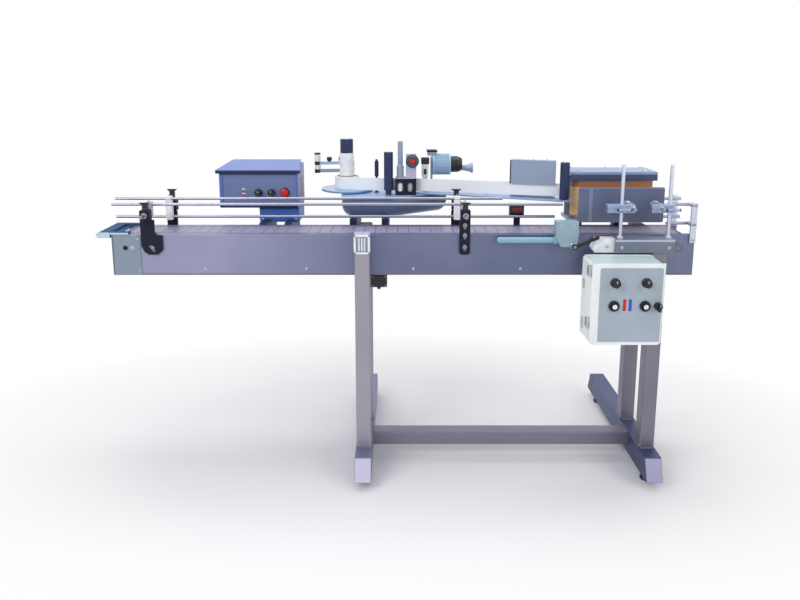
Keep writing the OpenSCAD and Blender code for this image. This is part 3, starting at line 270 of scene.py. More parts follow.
# %% [markdown]
# Painted metal is never quite flat: powder coat dries with a fine orange peel, its colour sways
# by a few per cent, and it thins on the edges, where hands and tools rub. The rubbed edge is
# found by setting a rounded normal against the true one, so it follows any bend of the mesh.
# Upward faces can be painted a darker colour, a painted shade for a top that gets less light than the front,
# and the height of the true normal finds those faces.

# %% Coated metal
SKIN_SCALE = 420.0


def coated(name, chip, roughness=0.38, worn=(200, 200, 208), wear=0.35, coat=0.15, shine=0.5, painted_top_shade=None):
    """Powder coat. Painted top shade is the colour painted on its upward faces as shade."""
    finish = Finish(name)
    colour = paint(*chip)
    skin = finish.noise(SKIN_SCALE, 2.0)
    sway = finish.ramp(finish.noise(9.0, 3.0), 0.3, 0.7)
    dust = finish.ramp(finish.noise(28.0, 6.0), 0.55, 0.85)
    chips = finish.ramp(finish.noise(160.0, 4.0), 0.45, 0.62)
    tone = finish.blend(sway, shade(colour, 0.93), shade(colour, 1.06))
    edges_and_painted_light = finish.blend(finish.edges(1.5) * chips * wear, tone, paint(*worn))
    # Painted shade: upward faces are blended towards a darker colour.
    if painted_top_shade:
        normal = finish.node("ShaderNodeNewGeometry", out="Normal")
        upward = finish.node("ShaderNodeSeparateXYZ", None, {0: normal}, "Z")
        edges_and_painted_light = finish.blend(finish.ramp(upward, 0.6, 0.95), edges_and_painted_light, paint(*painted_top_shade))
    gloss = roughness + 0.10 * dust + 0.06 * skin
    return finish.dress(edges_and_painted_light, gloss, Coat_Weight=coat, Specular_IOR_Level=shine,
                        Normal=finish.bump(skin, 0.12, 0.22))


# The box's upward faces are painted a darker grey-green: painted shade for a top that gets less light.
white_enamel = coated("white_enamel", (238, 244, 243), 0.3, (190, 198, 200), 0.25, painted_top_shade=(192, 211, 213))
panel_grey = coated("panel_grey", (164, 177, 190), 0.42, (205, 212, 220), 0.3)
black_coat = coated("black_coat", (18, 19, 40), 0.5, (104, 106, 130), 0.5, 0.04, 0.25)
navy_enamel = coated("navy_enamel", (30, 40, 80), 0.4, (110, 114, 150), 0.45, 0.06, 0.3)
blue_enamel = coated("blue_enamel", (60, 106, 196), 0.34, (150, 170, 215), 0.4)
console_face = coated("console_face", (110, 124, 170), 0.4, (190, 190, 212), 0.35)
console_blue = coated("console_blue", (88, 112, 184), 0.33, (200, 206, 240), 0.35)
motor_grey = coated("motor_grey", (164, 194, 220), 0.4, (200, 205, 212), 0.4)
steel_blue = coated("steel_blue", (144, 161, 186), 0.36, (206, 214, 230), 0.4)
light_coat = coated("light_coat", (188, 187, 212), 0.36, (230, 232, 236), 0.3)
shelf_grey = coated("shelf_grey", (112, 122, 138), 0.4, (205, 210, 216), 0.4)
dancer_blue = coated("dancer_blue", (170, 194, 220), 0.36, (224, 232, 240), 0.35)
clamp_blue = coated("clamp_blue", (146, 172, 190), 0.38, (214, 226, 232), 0.4)
bar_cyan = coated("bar_cyan", (130, 177, 198), 0.32, (206, 222, 232), 0.35)
pad_plate = coated("pad_plate", (91, 101, 131), 0.42, (150, 154, 180), 0.35)
pad_strip = coated("pad_strip", (118, 128, 156), 0.42, (170, 174, 194), 0.35)
housing_navy = coated("housing_navy", (96, 112, 148), 0.36, (140, 150, 182), 0.4)
cover_shade_navy = coated("cover_shade_navy", (50, 68, 104), 0.36, (110, 120, 152), 0.4)
cover_blue = coated("cover_blue", (132, 152, 194), 0.32, (214, 222, 238), 0.4)
print("coated metals made")

# %% [markdown]
# Knobs, rings and rollers are moulded. Their skin is an even, fine spark-eroded grain, so a
# close cell texture gives the bump, and the gloss breaks where fingers polish it.


# %% Moulded plastic and rubber
def moulded(name, chip, roughness=0.42, grain=900.0, depth=0.06):
    finish = Finish(name)
    colour = paint(*chip)
    cells = finish.cells(grain)
    touch = finish.ramp(finish.noise(45.0, 3.0), 0.4, 0.7)
    tone = finish.blend(touch, shade(colour, 0.92), shade(colour, 1.12))
    # Rounded edges are painted lighter: a painted highlight along them.
    edges_and_painted_light = finish.blend(finish.edges(0.8) * 0.3, tone, shade(colour, 1.7))
    return finish.dress(edges_and_painted_light, roughness + 0.12 * touch, Normal=finish.bump(cells, depth, 0.3))


black_moulded = moulded("black_moulded", (24, 24, 29))
black_gloss = moulded("black_gloss", (20, 20, 26), 0.22, 600.0, 0.03)
red_moulded = moulded("red_moulded", (206, 26, 34), 0.3)
white_moulded = moulded("white_moulded", (236, 238, 240), 0.32)
teal_moulded = moulded("teal_moulded", (40, 92, 98), 0.36)
sage_moulded = moulded("sage_moulded", (168, 192, 188), 0.36)
blue_bar = moulded("blue_bar", (48, 84, 190), 0.3)
green_lamp = moulded("green_lamp", (46, 160, 84), 0.18, 300.0, 0.05)
red_lamp = moulded("red_lamp", (214, 40, 44), 0.18, 300.0, 0.05)
slat_plastic = moulded("slat_plastic", (142, 139, 168), 0.36, 500.0, 0.05)
rubber_navy = moulded("rubber_navy", (28, 42, 84), 0.55, 700.0, 0.12)
roller_white = moulded("roller_white", (244, 246, 249), 0.35)
print("moulded plastics made")

# %% [markdown]
# A few surfaces have a build of their own. Label stock is coated paper with a faint tooth, and
# the ends of the roll show its hundreds of wound layers as fine rings round the spindle. The
# wrap belt is a tan fabric, woven from crossed threads. The pad's foam is a skin full of pores,
# and the reel's platter is tinted acrylic, which lets some light through.

# %% Paper, belt, foam and acrylic
REEL_X, REEL_Y = -185, 340
THREADS = 260.0


def paper(name, chip):
    finish = Finish(name)
    tooth = finish.noise(500.0, 4.0)
    tone = finish.blend(finish.noise(12.0), shade(paint(*chip), 0.95), paint(*chip))
    return finish.dress(tone, 0.5 + 0.1 * tooth, Normal=finish.bump(tooth, 0.05, 0.15))


def wound_paper(name, chip):
    """Rings of paper layers round the reel's axis, drifting a little as the roll was wound."""
    finish = Finish(name)
    axis = at(REEL_X, REEL_Y, 0)
    arm = finish.vector("SUBTRACT", finish.here(), axis)
    radius = finish.vector("LENGTH", finish.vector("MULTIPLY", arm, (1, 1, 0)), out="Value")
    layers = finish.node("ShaderNodeTexNoise", {"noise_dimensions": "1D"}, {"W": radius, "Scale": 900.0})
    tone = finish.blend(finish.ramp(layers, 0.35, 0.65), shade(paint(*chip), 0.8), paint(*chip))
    return finish.dress(tone, 0.6 + 0.1 * layers, Normal=finish.bump(layers, 0.1, 0.3))


def woven(name, chip):
    """Plain weave: two sets of waves across each other."""
    finish = Finish(name)
    colour = paint(*chip)
    across, along = [finish.node("ShaderNodeTexWave", {"bands_direction": way},
                                 {"Vector": finish.places(), "Scale": THREADS, "Distortion": 0.6})
                     for way in ("Z", "X")]
    thread = across * along
    stain_and_painted_shade = finish.ramp(finish.noise(18.0, 4.0), 0.4, 0.75)
    tone = finish.blend(thread, shade(colour, 0.86), shade(colour, 1.08))
    mottled_tone = finish.blend(stain_and_painted_shade * 0.3, tone, shade(colour, 0.76))
    return finish.dress(mottled_tone, 0.7 + 0.1 * thread, Normal=finish.bump(thread, 0.2, 0.4))


def porous(name, chip):
    finish = Finish(name)
    colour = paint(*chip)
    pores = finish.cells(420.0)
    big = finish.noise(60.0, 3.0)
    tone = finish.blend(finish.ramp(pores, 0.1, 0.5), shade(colour, 0.6), colour)
    mottled_tone = finish.blend(big * 0.4, tone, shade(colour, 0.85))
    return finish.dress(mottled_tone, 0.85 + 0.05 * big, Normal=finish.bump(pores, 0.5, 0.6))


def clear_sheet(name, chip):
    """Tinted acrylic: glossy, with a little light let through and fine hairline scratches."""
    finish = Finish(name)
    hair = finish.noise(1.0, 2.0, (30, 900, 900))
    tone = finish.blend(finish.noise(7.0), paint(*chip), shade(paint(*chip), 0.92))
    return finish.dress(tone, 0.06 + 0.08 * hair, IOR=1.49, Transmission_Weight=0.45)


label_stock = paper("label_stock", (246, 249, 255))
wound_stock = wound_paper("wound_stock", (238, 238, 240))
core_board = paper("core_board", (170, 140, 102))
belt_fabric = woven("belt_fabric", (244, 204, 150))
belt_band = woven("belt_band", (176, 114, 80))
pad_foam = porous("pad_foam", (104, 104, 128))
platter_acrylic = clear_sheet("platter_acrylic", (160, 198, 238))
print("paper, belt, foam and acrylic made")

# %% [markdown]
# The portrait is taken from the operator's side, from above the chain and looking slightly down.
# A shifted lens lowers the picture, where pitching the camera further would make the posts lean.

# %% Camera
EYE = at(15, -2283, 1357)
PITCH_DOWN = math.radians(10.2)
SENSOR, LENS = 36, 31.5
SHIFT_PIXELS, PICTURE_PIXELS = -94, 800

camera = bpy.data.objects.new("portrait", bpy.data.cameras.new("portrait"))
camera.data.sensor_width = SENSOR
camera.data.lens = LENS
camera.data.shift_y = SHIFT_PIXELS / PICTURE_PIXELS
camera.location = EYE
camera.rotation_euler = (math.pi / 2 - PITCH_DOWN, 0, 0)
bpy.context.collection.objects.link(camera)
bpy.context.scene.camera = camera
print("camera at", [round(v, 3) for v in EYE])

# %% [markdown]
# The light is a plain studio: one broad lamp high on the left, a weaker one on the right and a
# long strip overhead, over a pale floor. The world is white to the eye and in reflections, but
# gives the surfaces only part of that, so that the lamps still shape them. The floor is pale
# near the machine, where it takes the shadow, and further out it fades to the same white.

# %% Studio
LAMPS = [
    ("key", (-2.2, -2.6, 2.9), (2.2, 1.6), 58),
    ("fill", (2.6, -2.2, 2.0), (1.8, 1.6), 26),
    ("overhead", (0.0, 0.3, 3.2), (3.2, 1.6), 44),
]
AIM = Vector((0, 0, 0.75))
AMBIENT = 0.42
WHITE = (1, 1, 1, 1)

for name, place, size, power in LAMPS:
    light = bpy.data.lights.new(name, "AREA")
    light.shape = "RECTANGLE"
    light.size, light.size_y = size
    light.energy = power
    holder = bpy.data.objects.new(name, light)
    holder.location = place
    holder.rotation_euler = (AIM - Vector(place)).to_track_quat("-Z", "Y").to_euler()
    bpy.context.collection.objects.link(holder)

world = bpy.data.worlds.new("studio")
world.use_nodes = True
bpy.context.scene.world = world
sky = Sheet(world.node_tree)
shown = [sky.node("ShaderNodeLightPath", out=f"Is {ray} Ray") for ray in ("Camera", "Glossy", "Transmission")]
level = sky.node("ShaderNodeMapRange", None, {"Value": shown[0] + shown[1] + shown[2], "To Min": AMBIENT})
backdrop = sky.tree.nodes["Background"]
sky.feed(backdrop.inputs["Strength"], level)
sky.feed(backdrop.inputs["Color"], WHITE)
bpy.context.scene.view_settings.view_transform = "Standard"
print("studio lit by", len(LAMPS), "lamps")

# %% Floor
FLOOR_HALF = 6.0
FADE_NEAR, FADE_FAR = 0.55, 1.15


def fading_floor(name, chip):
    finish = Finish(name)
    lit = Value(finish, finish.surface.outputs[0])
    oval = finish.vector("MULTIPLY", finish.here(), (0.6, 1, 0))
    reach = finish.vector("LENGTH", oval, out="Value")
    seen = finish.node("ShaderNodeLightPath", out="Is Camera Ray")
    fade = seen * finish.ramp(reach, FADE_NEAR, FADE_FAR)
    glow = finish.node("ShaderNodeEmission", None, {"Color": WHITE})
    mixed = finish.node("ShaderNodeMixShader", None, {0: fade, 1: lit, 2: glow})
    finish.feed(finish.tree.nodes["Material Output"].inputs["Surface"], mixed)
    return finish.dress(paint(*chip), 0.7)


floor_mesh = bpy.data.meshes.new("floor")
corners = [(FLOOR_HALF * x, FLOOR_HALF * y, 0) for x, y in ((-1, -1), (1, -1), (1, 1), (-1, 1))]
floor_mesh.from_pydata(corners, [], [(0, 1, 2, 3)])
floor_mesh.materials.append(fading_floor("floor_paint", (246, 246, 249)))
floor = bpy.data.objects.new("floor", floor_mesh)
bpy.context.collection.objects.link(floor)
print("floor fades to white")

# %% [markdown]
# Real pieces have no perfectly sharp edges: tube has rolled corners, sheet is deburred and
# mouldings are rounded, and that edge is what catches the light. The class below gathers closed
# shells into one mesh, softens the edges of each, gives each its finish and hangs the piece on a
# body of the frame. Modifiers could round the solids too, but a mesh in code keeps control of
# which edges stay crisp.

# %% Outlines and poses
PLANES = {"xy": (0, 1, 2), "xz": (0, 2, 1), "yz": (1, 2, 0)}


def lay(plane, a, b, depth):
    """Point of the frame from two coordinates in a plane and a depth across it."""
    across, up, through = PLANES[plane]
    place = [0.0, 0.0, 0.0]
    place[across], place[up], place[through] = a, b, depth
    return at(*place)


def arc(x, y, radius, start, end, steps):
    """Points on an arc about x, y between two angles in degrees."""
    angles = [math.radians(start + (end - start) * step / steps) for step in range(steps + 1)]
    return [(x + radius * math.cos(a), y + radius * math.sin(a)) for a in angles]


def moved(outline, x, y):
    """Outline shifted so that its own zero lies at x, y."""
    return [(x + a, y + b) for a, b in outline]


def rounded(left, low, right, high, radius, steps=6):
    """Rectangle with rounded corners, as an outline."""
    points = []
    for x, y, start in ((right - radius, high - radius, 0), (left + radius, high - radius, 90),
                        (left + radius, low + radius, 180), (right - radius, low + radius, 270)):
        points += arc(x, y, radius, start, start + 90, steps)
    return points


def aimed(place, direction):
    """Pose at a place whose Z axis points in a direction."""
    return Matrix.Translation(place) @ direction.to_track_quat("Z", "Y").to_matrix().to_4x4()


print("a rounded corner has", len(rounded(0, 0, 1, 1, 0.1)) // 4, "points")

# %% Pieces from closed shells
SHARP, CREASE = math.radians(28), math.radians(38)
SCREW_HEAD = [(0, 0), (1.5, 0), (1.5, 0.25), (1, 0.3), (1, 1.05), (0.86, 1.2), (0.55, 1.2), (0.5, 0.6),
              (0, 0.6)]


class Piece:
    """Closed shells in one mesh, placed in millimetres from the front face and the floor."""

    def __init__(self, name):
        self.name = name
        self.mesh = bmesh.new()
        self.finishes = []

    def keep(self, part, finish, soften=0.0, turn=None, steps=2):
        """Add a shell. A turn is an angle in degrees, an axis and a fixed point."""
        if turn:
            angle, axis, place = turn
            bmesh.ops.rotate(part, cent=at(*place), verts=part.verts,
                             matrix=Matrix.Rotation(math.radians(angle), 3, axis))
        if soften:
            hard = [e for e in part.edges if e.is_manifold and e.calc_face_angle() > SHARP]
            bmesh.ops.bevel(part, geom=hard, offset=soften * MM, segments=steps, profile=0.5,
                            affect="EDGES", clamp_overlap=True)
        bmesh.ops.recalc_face_normals(part, faces=part.faces)
        if finish not in self.finishes:
            self.finishes.append(finish)
        for face in part.faces:
            face.material_index = self.finishes.index(finish)
            face.smooth = True
        shell = bpy.data.meshes.new("shell")
        part.to_mesh(shell)
        part.free()
        self.mesh.from_mesh(shell)
        bpy.data.meshes.remove(shell)

    def block(self, low, high, finish, soften=1.0, turn=None, steps=2):
        """Box between two corners."""
        first, last = at(*low), at(*high)
        part = bmesh.new()
        bmesh.ops.create_cube(part, size=1)
        sized = Matrix.Translation((first + last) / 2) @ Matrix.Diagonal((*(last - first), 1))
        bmesh.ops.transform(part, matrix=sized, verts=part.verts)
        self.keep(part, finish, soften, turn, steps)

    def brick(self, middle, size, finish, soften=1.0, turn=None, steps=2):
        """Box round its middle."""
        low, high = [[m + sign * s / 2 for m, s in zip(middle, size)] for sign in (-1, 1)]
        self.block(low, high, finish, soften, turn, steps)

    def ribs(self, count, axis, centre, low, high, finish, soften=0.4):
        """A block repeated evenly round an axis through a centre."""
        for rib in range(count):
            self.block(low, high, finish, soften, (360 * rib / count, axis, centre))

    def rod(self, start, end, radius, finish, soften=0.6, sides=32):
        """Round bar between two points."""
        first, last = at(*start), at(*end)
        part = bmesh.new()
        bmesh.ops.create_cone(part, cap_ends=True, segments=sides, radius1=radius * MM,
                              radius2=radius * MM, depth=(last - first).length)
        bmesh.ops.transform(part, matrix=aimed((first + last) / 2, last - first), verts=part.verts)
        self.keep(part, finish, soften)

    def skin(self, rims, finish, soften=0.0, turn=None, steps=2, closed=False):
        """Shell over rows of points: closed to a loop, or with its first and last row filled."""
        part = bmesh.new()
        rows = [[part.verts.new(point) for point in rim] for rim in rims]
        if not closed:
            for row in (rows[0], rows[-1]):
                if len(row) > 1:
                    part.faces.new(row)
        for lower, upper in zip(rows, rows[1:] + rows[:closed]):
            for i in range(max(len(row) for row in rows)):
                ways = ((lower, i - 1), (lower, i), (upper, i), (upper, i - 1))
                part.faces.new(list(dict.fromkeys(row[k % len(row)] for row, k in ways)))
        self.keep(part, finish, soften, turn, steps)

    def turned(self, base, axis, outline, finish, sides=48):
        """Lathe work: radius and height pairs spun about an axis, to a ring if they start clear of it."""
        pose = aimed(at(*base), Vector(axis))
        rims = []
        for radius, height in outline:
            count = sides if radius else 1
            angles = [2 * math.pi * i / count for i in range(count)]
            rims.append([pose @ Vector((radius * MM * math.cos(a), radius * MM * math.sin(a), height * MM))
                         for a in angles])
        self.skin(rims, finish, closed=outline[0][0] > 0)

    def ring(self, base, axis, inner, outer, low, high, finish, sides=48):
        """Plain washer or sleeve between two radii and two heights."""
        outline = [(inner, low), (outer, low), (outer, high), (inner, high)]
        self.turned(base, axis, outline, finish, sides)

    def loft(self, rings, plane, finish, soften=0.0, turn=None, steps=2, closed=False):
        """Skin over outlines that have as many points, each at its own depth."""
        rims = [[lay(plane, a, b, depth) for a, b in outline] for outline, depth in rings]
        self.skin(rims, finish, soften, turn, steps, closed)

    def plate(self, outline, plane, near, far, finish, soften=0.8, turn=None, steps=2):
        """Outline in one plane, given thickness from near to far along the third axis."""
        self.loft([(outline, near), (outline, far)], plane, finish, soften, turn, steps)

    def collar(self, outer, inner, plane, near, far, finish, soften=0.8):
        """Hollow plate between two outlines."""
        rings = [(outer, near), (outer, far), (inner, far), (inner, near)]
        self.loft(rings, plane, finish, soften, closed=True)

    def screws(self, x, y, z, axis, radius, finish=zinc):
        """Cap screws on washers at every crossing of the places, each of them one number or several."""
        places = [place if isinstance(place, tuple) else (place,) for place in (x, y, z)]
        for place in product(*places):
            self.turned(place, axis, [(radius * a, radius * b) for a, b in SCREW_HEAD], finish, 24)

    def done(self, body, slot, *replaced):
        """Make the object and hang it on a body, in place of the solids that it replaces."""
        mesh = bpy.data.meshes.new(self.name)
        self.mesh.to_mesh(mesh)
        self.mesh.free()
        mesh.set_sharp_from_angle(angle=CREASE)
        for finish in self.finishes:
            mesh.materials.append(finish)
        piece = bpy.data.objects.new(self.name, mesh)
        bpy.context.collection.objects.link(piece)
        piece.modifiers.new("even_shading", "WEIGHTED_NORMAL").keep_sharp = True
        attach(piece, body)
        if replaced:
            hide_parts(*replaced)
        print(self.name, "has", len(mesh.polygons), "faces and rides on", body)
        return piece


print("piece tools ready")

# %% [markdown]
# The stand is an H of tube on the floor with four posts. Such tube has rolled corners of a few
# millimetres, welds run round every joint, and each sloping end of a foot bar is shut by a plate.

# %% Floor frame
LEFT_LEG, RIGHT_LEG = -110, 867
FOOT_LOW, FOOT_TOP = 30, 105
FOOT_FRONT, FOOT_BACK, FOOT_SLOPE, FOOT_HALF = -142, 604, 30, 28
TUBE, TUBE_CORNER = 50, 4
STRETCHER_FRONT, STRETCHER_BACK = 65, 65 + TUBE
BEAD = 2.6
COVER_SIDE = [(-1.4, FOOT_LOW + 2), (FOOT_SLOPE - 2.6, FOOT_TOP - 3),
              (FOOT_SLOPE + 2.6, FOOT_TOP - 3), (4.6, FOOT_LOW + 2)]


def weld(piece, start, end):
    """Bead of weld between two points."""
    piece.rod(start, end, BEAD, cut_steel, 1)


stand = Piece("floor_frame_welded")
foot_side = [(FOOT_FRONT, FOOT_LOW), (FOOT_FRONT + FOOT_SLOPE, FOOT_TOP),
             (FOOT_BACK - FOOT_SLOPE, FOOT_TOP), (FOOT_BACK, FOOT_LOW)]
for leg in (LEFT_LEG, RIGHT_LEG):
    stand.plate(foot_side, "yz", leg - FOOT_HALF, leg + FOOT_HALF, bar_steel, TUBE_CORNER, steps=3)
    for sign, tip in ((1, FOOT_FRONT), (-1, FOOT_BACK)):
        cover = [(tip + sign * y, z) for y, z in COVER_SIDE]
        stand.plate(cover, "yz", leg - FOOT_HALF + 1.5, leg + FOOT_HALF - 1.5, foot_plate, 0.6)
stand.block((LEFT_LEG + FOOT_HALF - 1, STRETCHER_FRONT, FOOT_TOP - TUBE),
            (RIGHT_LEG - FOOT_HALF + 1, STRETCHER_BACK, FOOT_TOP), beam_steel, TUBE_CORNER, steps=3)
for joint in (LEFT_LEG + FOOT_HALF, RIGHT_LEG - FOOT_HALF):
    for y in (STRETCHER_FRONT, STRETCHER_BACK):
        weld(stand, (joint, y, FOOT_TOP - TUBE + 4), (joint, y, FOOT_TOP - 4))
    for z in (FOOT_TOP - TUBE, FOOT_TOP):
        weld(stand, (joint, STRETCHER_FRONT + 4, z), (joint, STRETCHER_BACK - 4, z))
stand.done("frame", "stainless", "floor_frame")

# %% [markdown]
# Levelling feet are turned: a domed pad on a threaded stem with a lock nut under the bar.

# %% Levelling feet
FOOT_SIDE = [(0, 0), (21, 0), (22, 1.5), (22, 5), (20, 8), (11, 10), (9, 12), (6, 13), (6, 34), (0, 34)]
FOOT_INSET = 79
THREAD_LOW, THREAD_PITCH = 14, 1.8

feet = Piece("levelling_feet_turned")
for x, y in product((LEFT_LEG, RIGHT_LEG), (FOOT_FRONT + FOOT_INSET, FOOT_BACK - FOOT_INSET)):
    feet.turned((x, y, 0), UP, FOOT_SIDE, black_moulded)
    feet.rod((x, y, FOOT_LOW - 7), (x, y, FOOT_LOW), 11, zinc, 0.8, sides=6)
    for thread in range(5):
        feet.turned((x, y, THREAD_LOW + thread * THREAD_PITCH), UP,
                    [(6, 0), (6.7, THREAD_PITCH / 2), (6, THREAD_PITCH)], zinc, 24)
feet.done("frame", "black_plastic", "levelling_feet")

# %% [markdown]
# The posts stand on the foot bars and hold the conveyor between them. The left front post ends
# in a cap with a raised rim and three ribs, and the others are closed flat.

# %% Posts
PLATE_FRONT, PLATE_BACK = 0, 160
POSTS = [(LEFT_LEG, -TUBE, 852), (RIGHT_LEG, -TUBE, 800),
         (LEFT_LEG, PLATE_BACK, 850), (RIGHT_LEG, PLATE_BACK, 850)]
CAP_LEFT, CAP_RIGHT, CAP_LOW, CAP_HIGH = LEFT_LEG - 26.5, LEFT_LEG + 26.5, 795, 860
CAP_FACE, RIM = -54, 7

posts = Piece("leg_posts_tube")
for middle, front, top in POSTS:
    left, right, back = middle - TUBE / 2, middle + TUBE / 2, front + TUBE
    posts.block((left, front, FOOT_TOP), (right, back, top), tube_steel, TUBE_CORNER, steps=3)
    for x in (left, right):
        weld(posts, (x, front + 3, FOOT_TOP), (x, back - 3, FOOT_TOP))
    for y in (front, back):
        weld(posts, (left + 3, y, FOOT_TOP), (right - 3, y, FOOT_TOP))
posts.block((CAP_LEFT, CAP_FACE, CAP_LOW), (CAP_RIGHT, 0, CAP_HIGH), light_coat, 2.5, steps=3)
for low in (CAP_LOW, CAP_HIGH - RIM):
    posts.block((CAP_LEFT, CAP_FACE - 2, low), (CAP_RIGHT, CAP_FACE + 4, low + RIM), white_moulded, 1.2)
for left in (CAP_LEFT, CAP_RIGHT - RIM):
    posts.block((left, CAP_FACE - 2, CAP_LOW), (left + RIM, CAP_FACE + 4, CAP_HIGH), white_moulded, 1.2)
posts.block((CAP_LEFT + RIM, CAP_FACE - 0.6, CAP_LOW + RIM), (CAP_RIGHT - RIM, CAP_FACE + 4, CAP_HIGH - RIM),
            end_steel, 0.5)
for rib in (-9, 0, 9):
    posts.block((LEFT_LEG + rib - 2, CAP_FACE - 1.4, CAP_LOW + RIM + 4),
                (LEFT_LEG + rib + 2, CAP_FACE, CAP_HIGH - RIM - 4), white_moulded, 0.5)
posts.done("frame", "stainless", "leg_posts")

# %% [markdown]
# The conveyor's two side plates are folded sheet: their long edges turn in as flanges, a strip of darker
# steel along the bottom is painted shade on the lower fold, and the drive shaft sits in a bush in each. The
# infeed end wears bolted cover panels and a rounded nose plate with a wing along each side of the chain.

# %% Side plates
PLATE_LEFT, PLATE_RIGHT = span("side_plates")[0].x, span("side_plates")[1].x
PLATE_LOW = span("side_plates")[0].z
PLATE_GAUGE, FLANGE, FLANGE_GAUGE = 4, 17, 3
DRIVE_X, IDLER_X, SHAFT_Z = 950, -904, 804
SHAFT_BUSH = [(10.2, -3), (14, -3), (14, 1), (13, 1.6), (11, 1.6), (10.2, 1)]
SIDE_SCREWS = (-640, -300, 60, 420)


def depths(face, way, start, end):
    """Two depths measured from a face, towards the back for a way of 1, with the lower one first."""
    return sorted((face + way * start, face + way * end))


sides = Piece("side_plates_folded")
for face, inward in ((PLATE_FRONT, 1), (PLATE_BACK, -1)):
    outward = (0, -inward, 0)
    near, far = depths(face, inward, 0, PLATE_GAUGE)
    sides.block((PLATE_LEFT, near, PLATE_LOW), (PLATE_RIGHT, far, CHAIN_TOP), sheet_steel, 1.2)
    near, far = depths(face, inward, 1, FLANGE)
    for low in (PLATE_LOW, CHAIN_TOP - FLANGE_GAUGE):
        sides.block((PLATE_LEFT + 2, near, low), (PLATE_RIGHT - 2, far, low + FLANGE_GAUGE), sheet_steel, 0.8)
    # A strip of darker steel along the bottom of each plate: painted shade on the lower fold.
    near, far = depths(face, inward, -0.8, 1)
    sides.block((PLATE_LEFT + 2, near, PLATE_LOW), (PLATE_RIGHT - 1, far, PLATE_LOW + 5), cut_steel, 0.6)
    sides.turned((DRIVE_X, face, SHAFT_Z), outward, SHAFT_BUSH, cut_steel)
    sides.screws(SIDE_SCREWS, face - inward * 0.1, PLATE_LOW + 22, outward, 3.2)
sides.done("frame", "stainless", "side_plates")

# %% Infeed end
NOSE_LEFT, NOSE_TOP, NOSE_LOW = span("infeed_plates")[0].x, span("infeed_plates")[1].z, 838
NOSE_RIGHT, WING_RIGHT, WING_DEEP = NOSE_LEFT + 47, NOSE_LEFT + 110, 24
NOSE_FRONT, NOSE_BACK = -4, 164
NOSE_SIDE = [(NOSE_LEFT + 12, NOSE_LOW), (NOSE_LEFT + 4, NOSE_LOW + 4), (NOSE_LEFT, NOSE_LOW + 11),
             (NOSE_LEFT + 3, NOSE_LOW + 16), (NOSE_LEFT + 10, NOSE_TOP), (NOSE_RIGHT, NOSE_TOP),
             (NOSE_RIGHT, NOSE_LOW)]
PANEL_RIGHT, PANEL_LOW, PANEL_TOP, PANEL_GAUGE = PLATE_LEFT + 95, 712, 848, 2
SHAFT_END = [(0, -1), (8, -1), (8, 0.4), (7, 0.8), (0, 0.8)]

infeed = Piece("infeed_plates_bolted")
# Dark copy for the nose and wings, bright copy on their front faces: painted reflection and painted
# highlight.
infeed.plate(NOSE_SIDE, "xz", NOSE_FRONT + 1, NOSE_BACK - 1, nose_shaded_steel, 1.5)
infeed.plate(NOSE_SIDE, "xz", NOSE_FRONT - 0.6, NOSE_FRONT + 2, nose_lit_steel, 0.6)
infeed.block((NOSE_LEFT + 6, NOSE_FRONT, NOSE_LOW), (NOSE_RIGHT, NOSE_BACK, NOSE_LOW + 2), cut_steel, 0.5)
infeed.block((NOSE_RIGHT - 2, NOSE_FRONT + WING_DEEP + 1, CHAIN_TOP - 3.6),
             (NOSE_RIGHT + 24, NOSE_BACK - WING_DEEP - 1, CHAIN_TOP - 0.4), nose_shaded_steel, 0.8)
for near in (NOSE_FRONT, NOSE_BACK - WING_DEEP):
    far = near + WING_DEEP
    infeed.block((NOSE_RIGHT + 0.4, near, CHAIN_TOP), (WING_RIGHT, far, NOSE_TOP), nose_shaded_steel, 1.5)
infeed.block((NOSE_RIGHT + 0.6, NOSE_FRONT - 0.6, CHAIN_TOP), (WING_RIGHT - 1, NOSE_FRONT + 2, NOSE_TOP - 1),
             nose_lit_steel, 0.4)
for face, out in ((PLATE_FRONT - PANEL_GAUGE, -1), (PLATE_BACK + PANEL_GAUGE, 1)):
    outward = (0, out, 0)
    near, far = depths(face, out, -PANEL_GAUGE, 0)
    infeed.block((PLATE_LEFT, near, PANEL_LOW), (PANEL_RIGHT, far, PANEL_TOP), end_steel, 0.8)
    near, far = depths(face, out, 0, 1)
    infeed.block((PLATE_LEFT - 0.5, near, PANEL_LOW - 1), (PLATE_LEFT + 4, far, PANEL_TOP + 1),
                 cut_steel, 0.4)
    infeed.turned((IDLER_X, face, SHAFT_Z), outward, SHAFT_END, black_coat)
    infeed.screws(IDLER_X + 24, face, SHAFT_Z, outward, 5)
    infeed.screws(PANEL_RIGHT - 8, face, (PANEL_LOW + 14, PANEL_TOP - 14), outward, 2.4)
infeed.done("frame", "grey_steel", "infeed_plates")

# %% [markdown]
# The chain is a loop of hinged plastic slats. It is laid link by link: along the top, round the
# discharge wheel, back underneath and round the infeed wheel. One step along the loop gives each
# slat its place and its slope, so the same few lines make all of them.

# %% Slat chain
CHAIN_FRONT, CHAIN_BACK = span("chain_top_run")[0].y, span("chain_top_run")[1].y
CHAIN_MIDDLE = (CHAIN_FRONT + CHAIN_BACK) / 2
SLAT, STOCK_PITCH, HINGE_DROP = 4, 38.1, 1.35
LOOP_RADIUS = CHAIN_TOP - SHAFT_Z - SLAT / 2
RUN = DRIVE_X - IDLER_X
TURN = math.pi * LOOP_RADIUS
LINKS = round(2 * (RUN + TURN) / STOCK_PITCH)
PITCH = 2 * (RUN + TURN) / LINKS


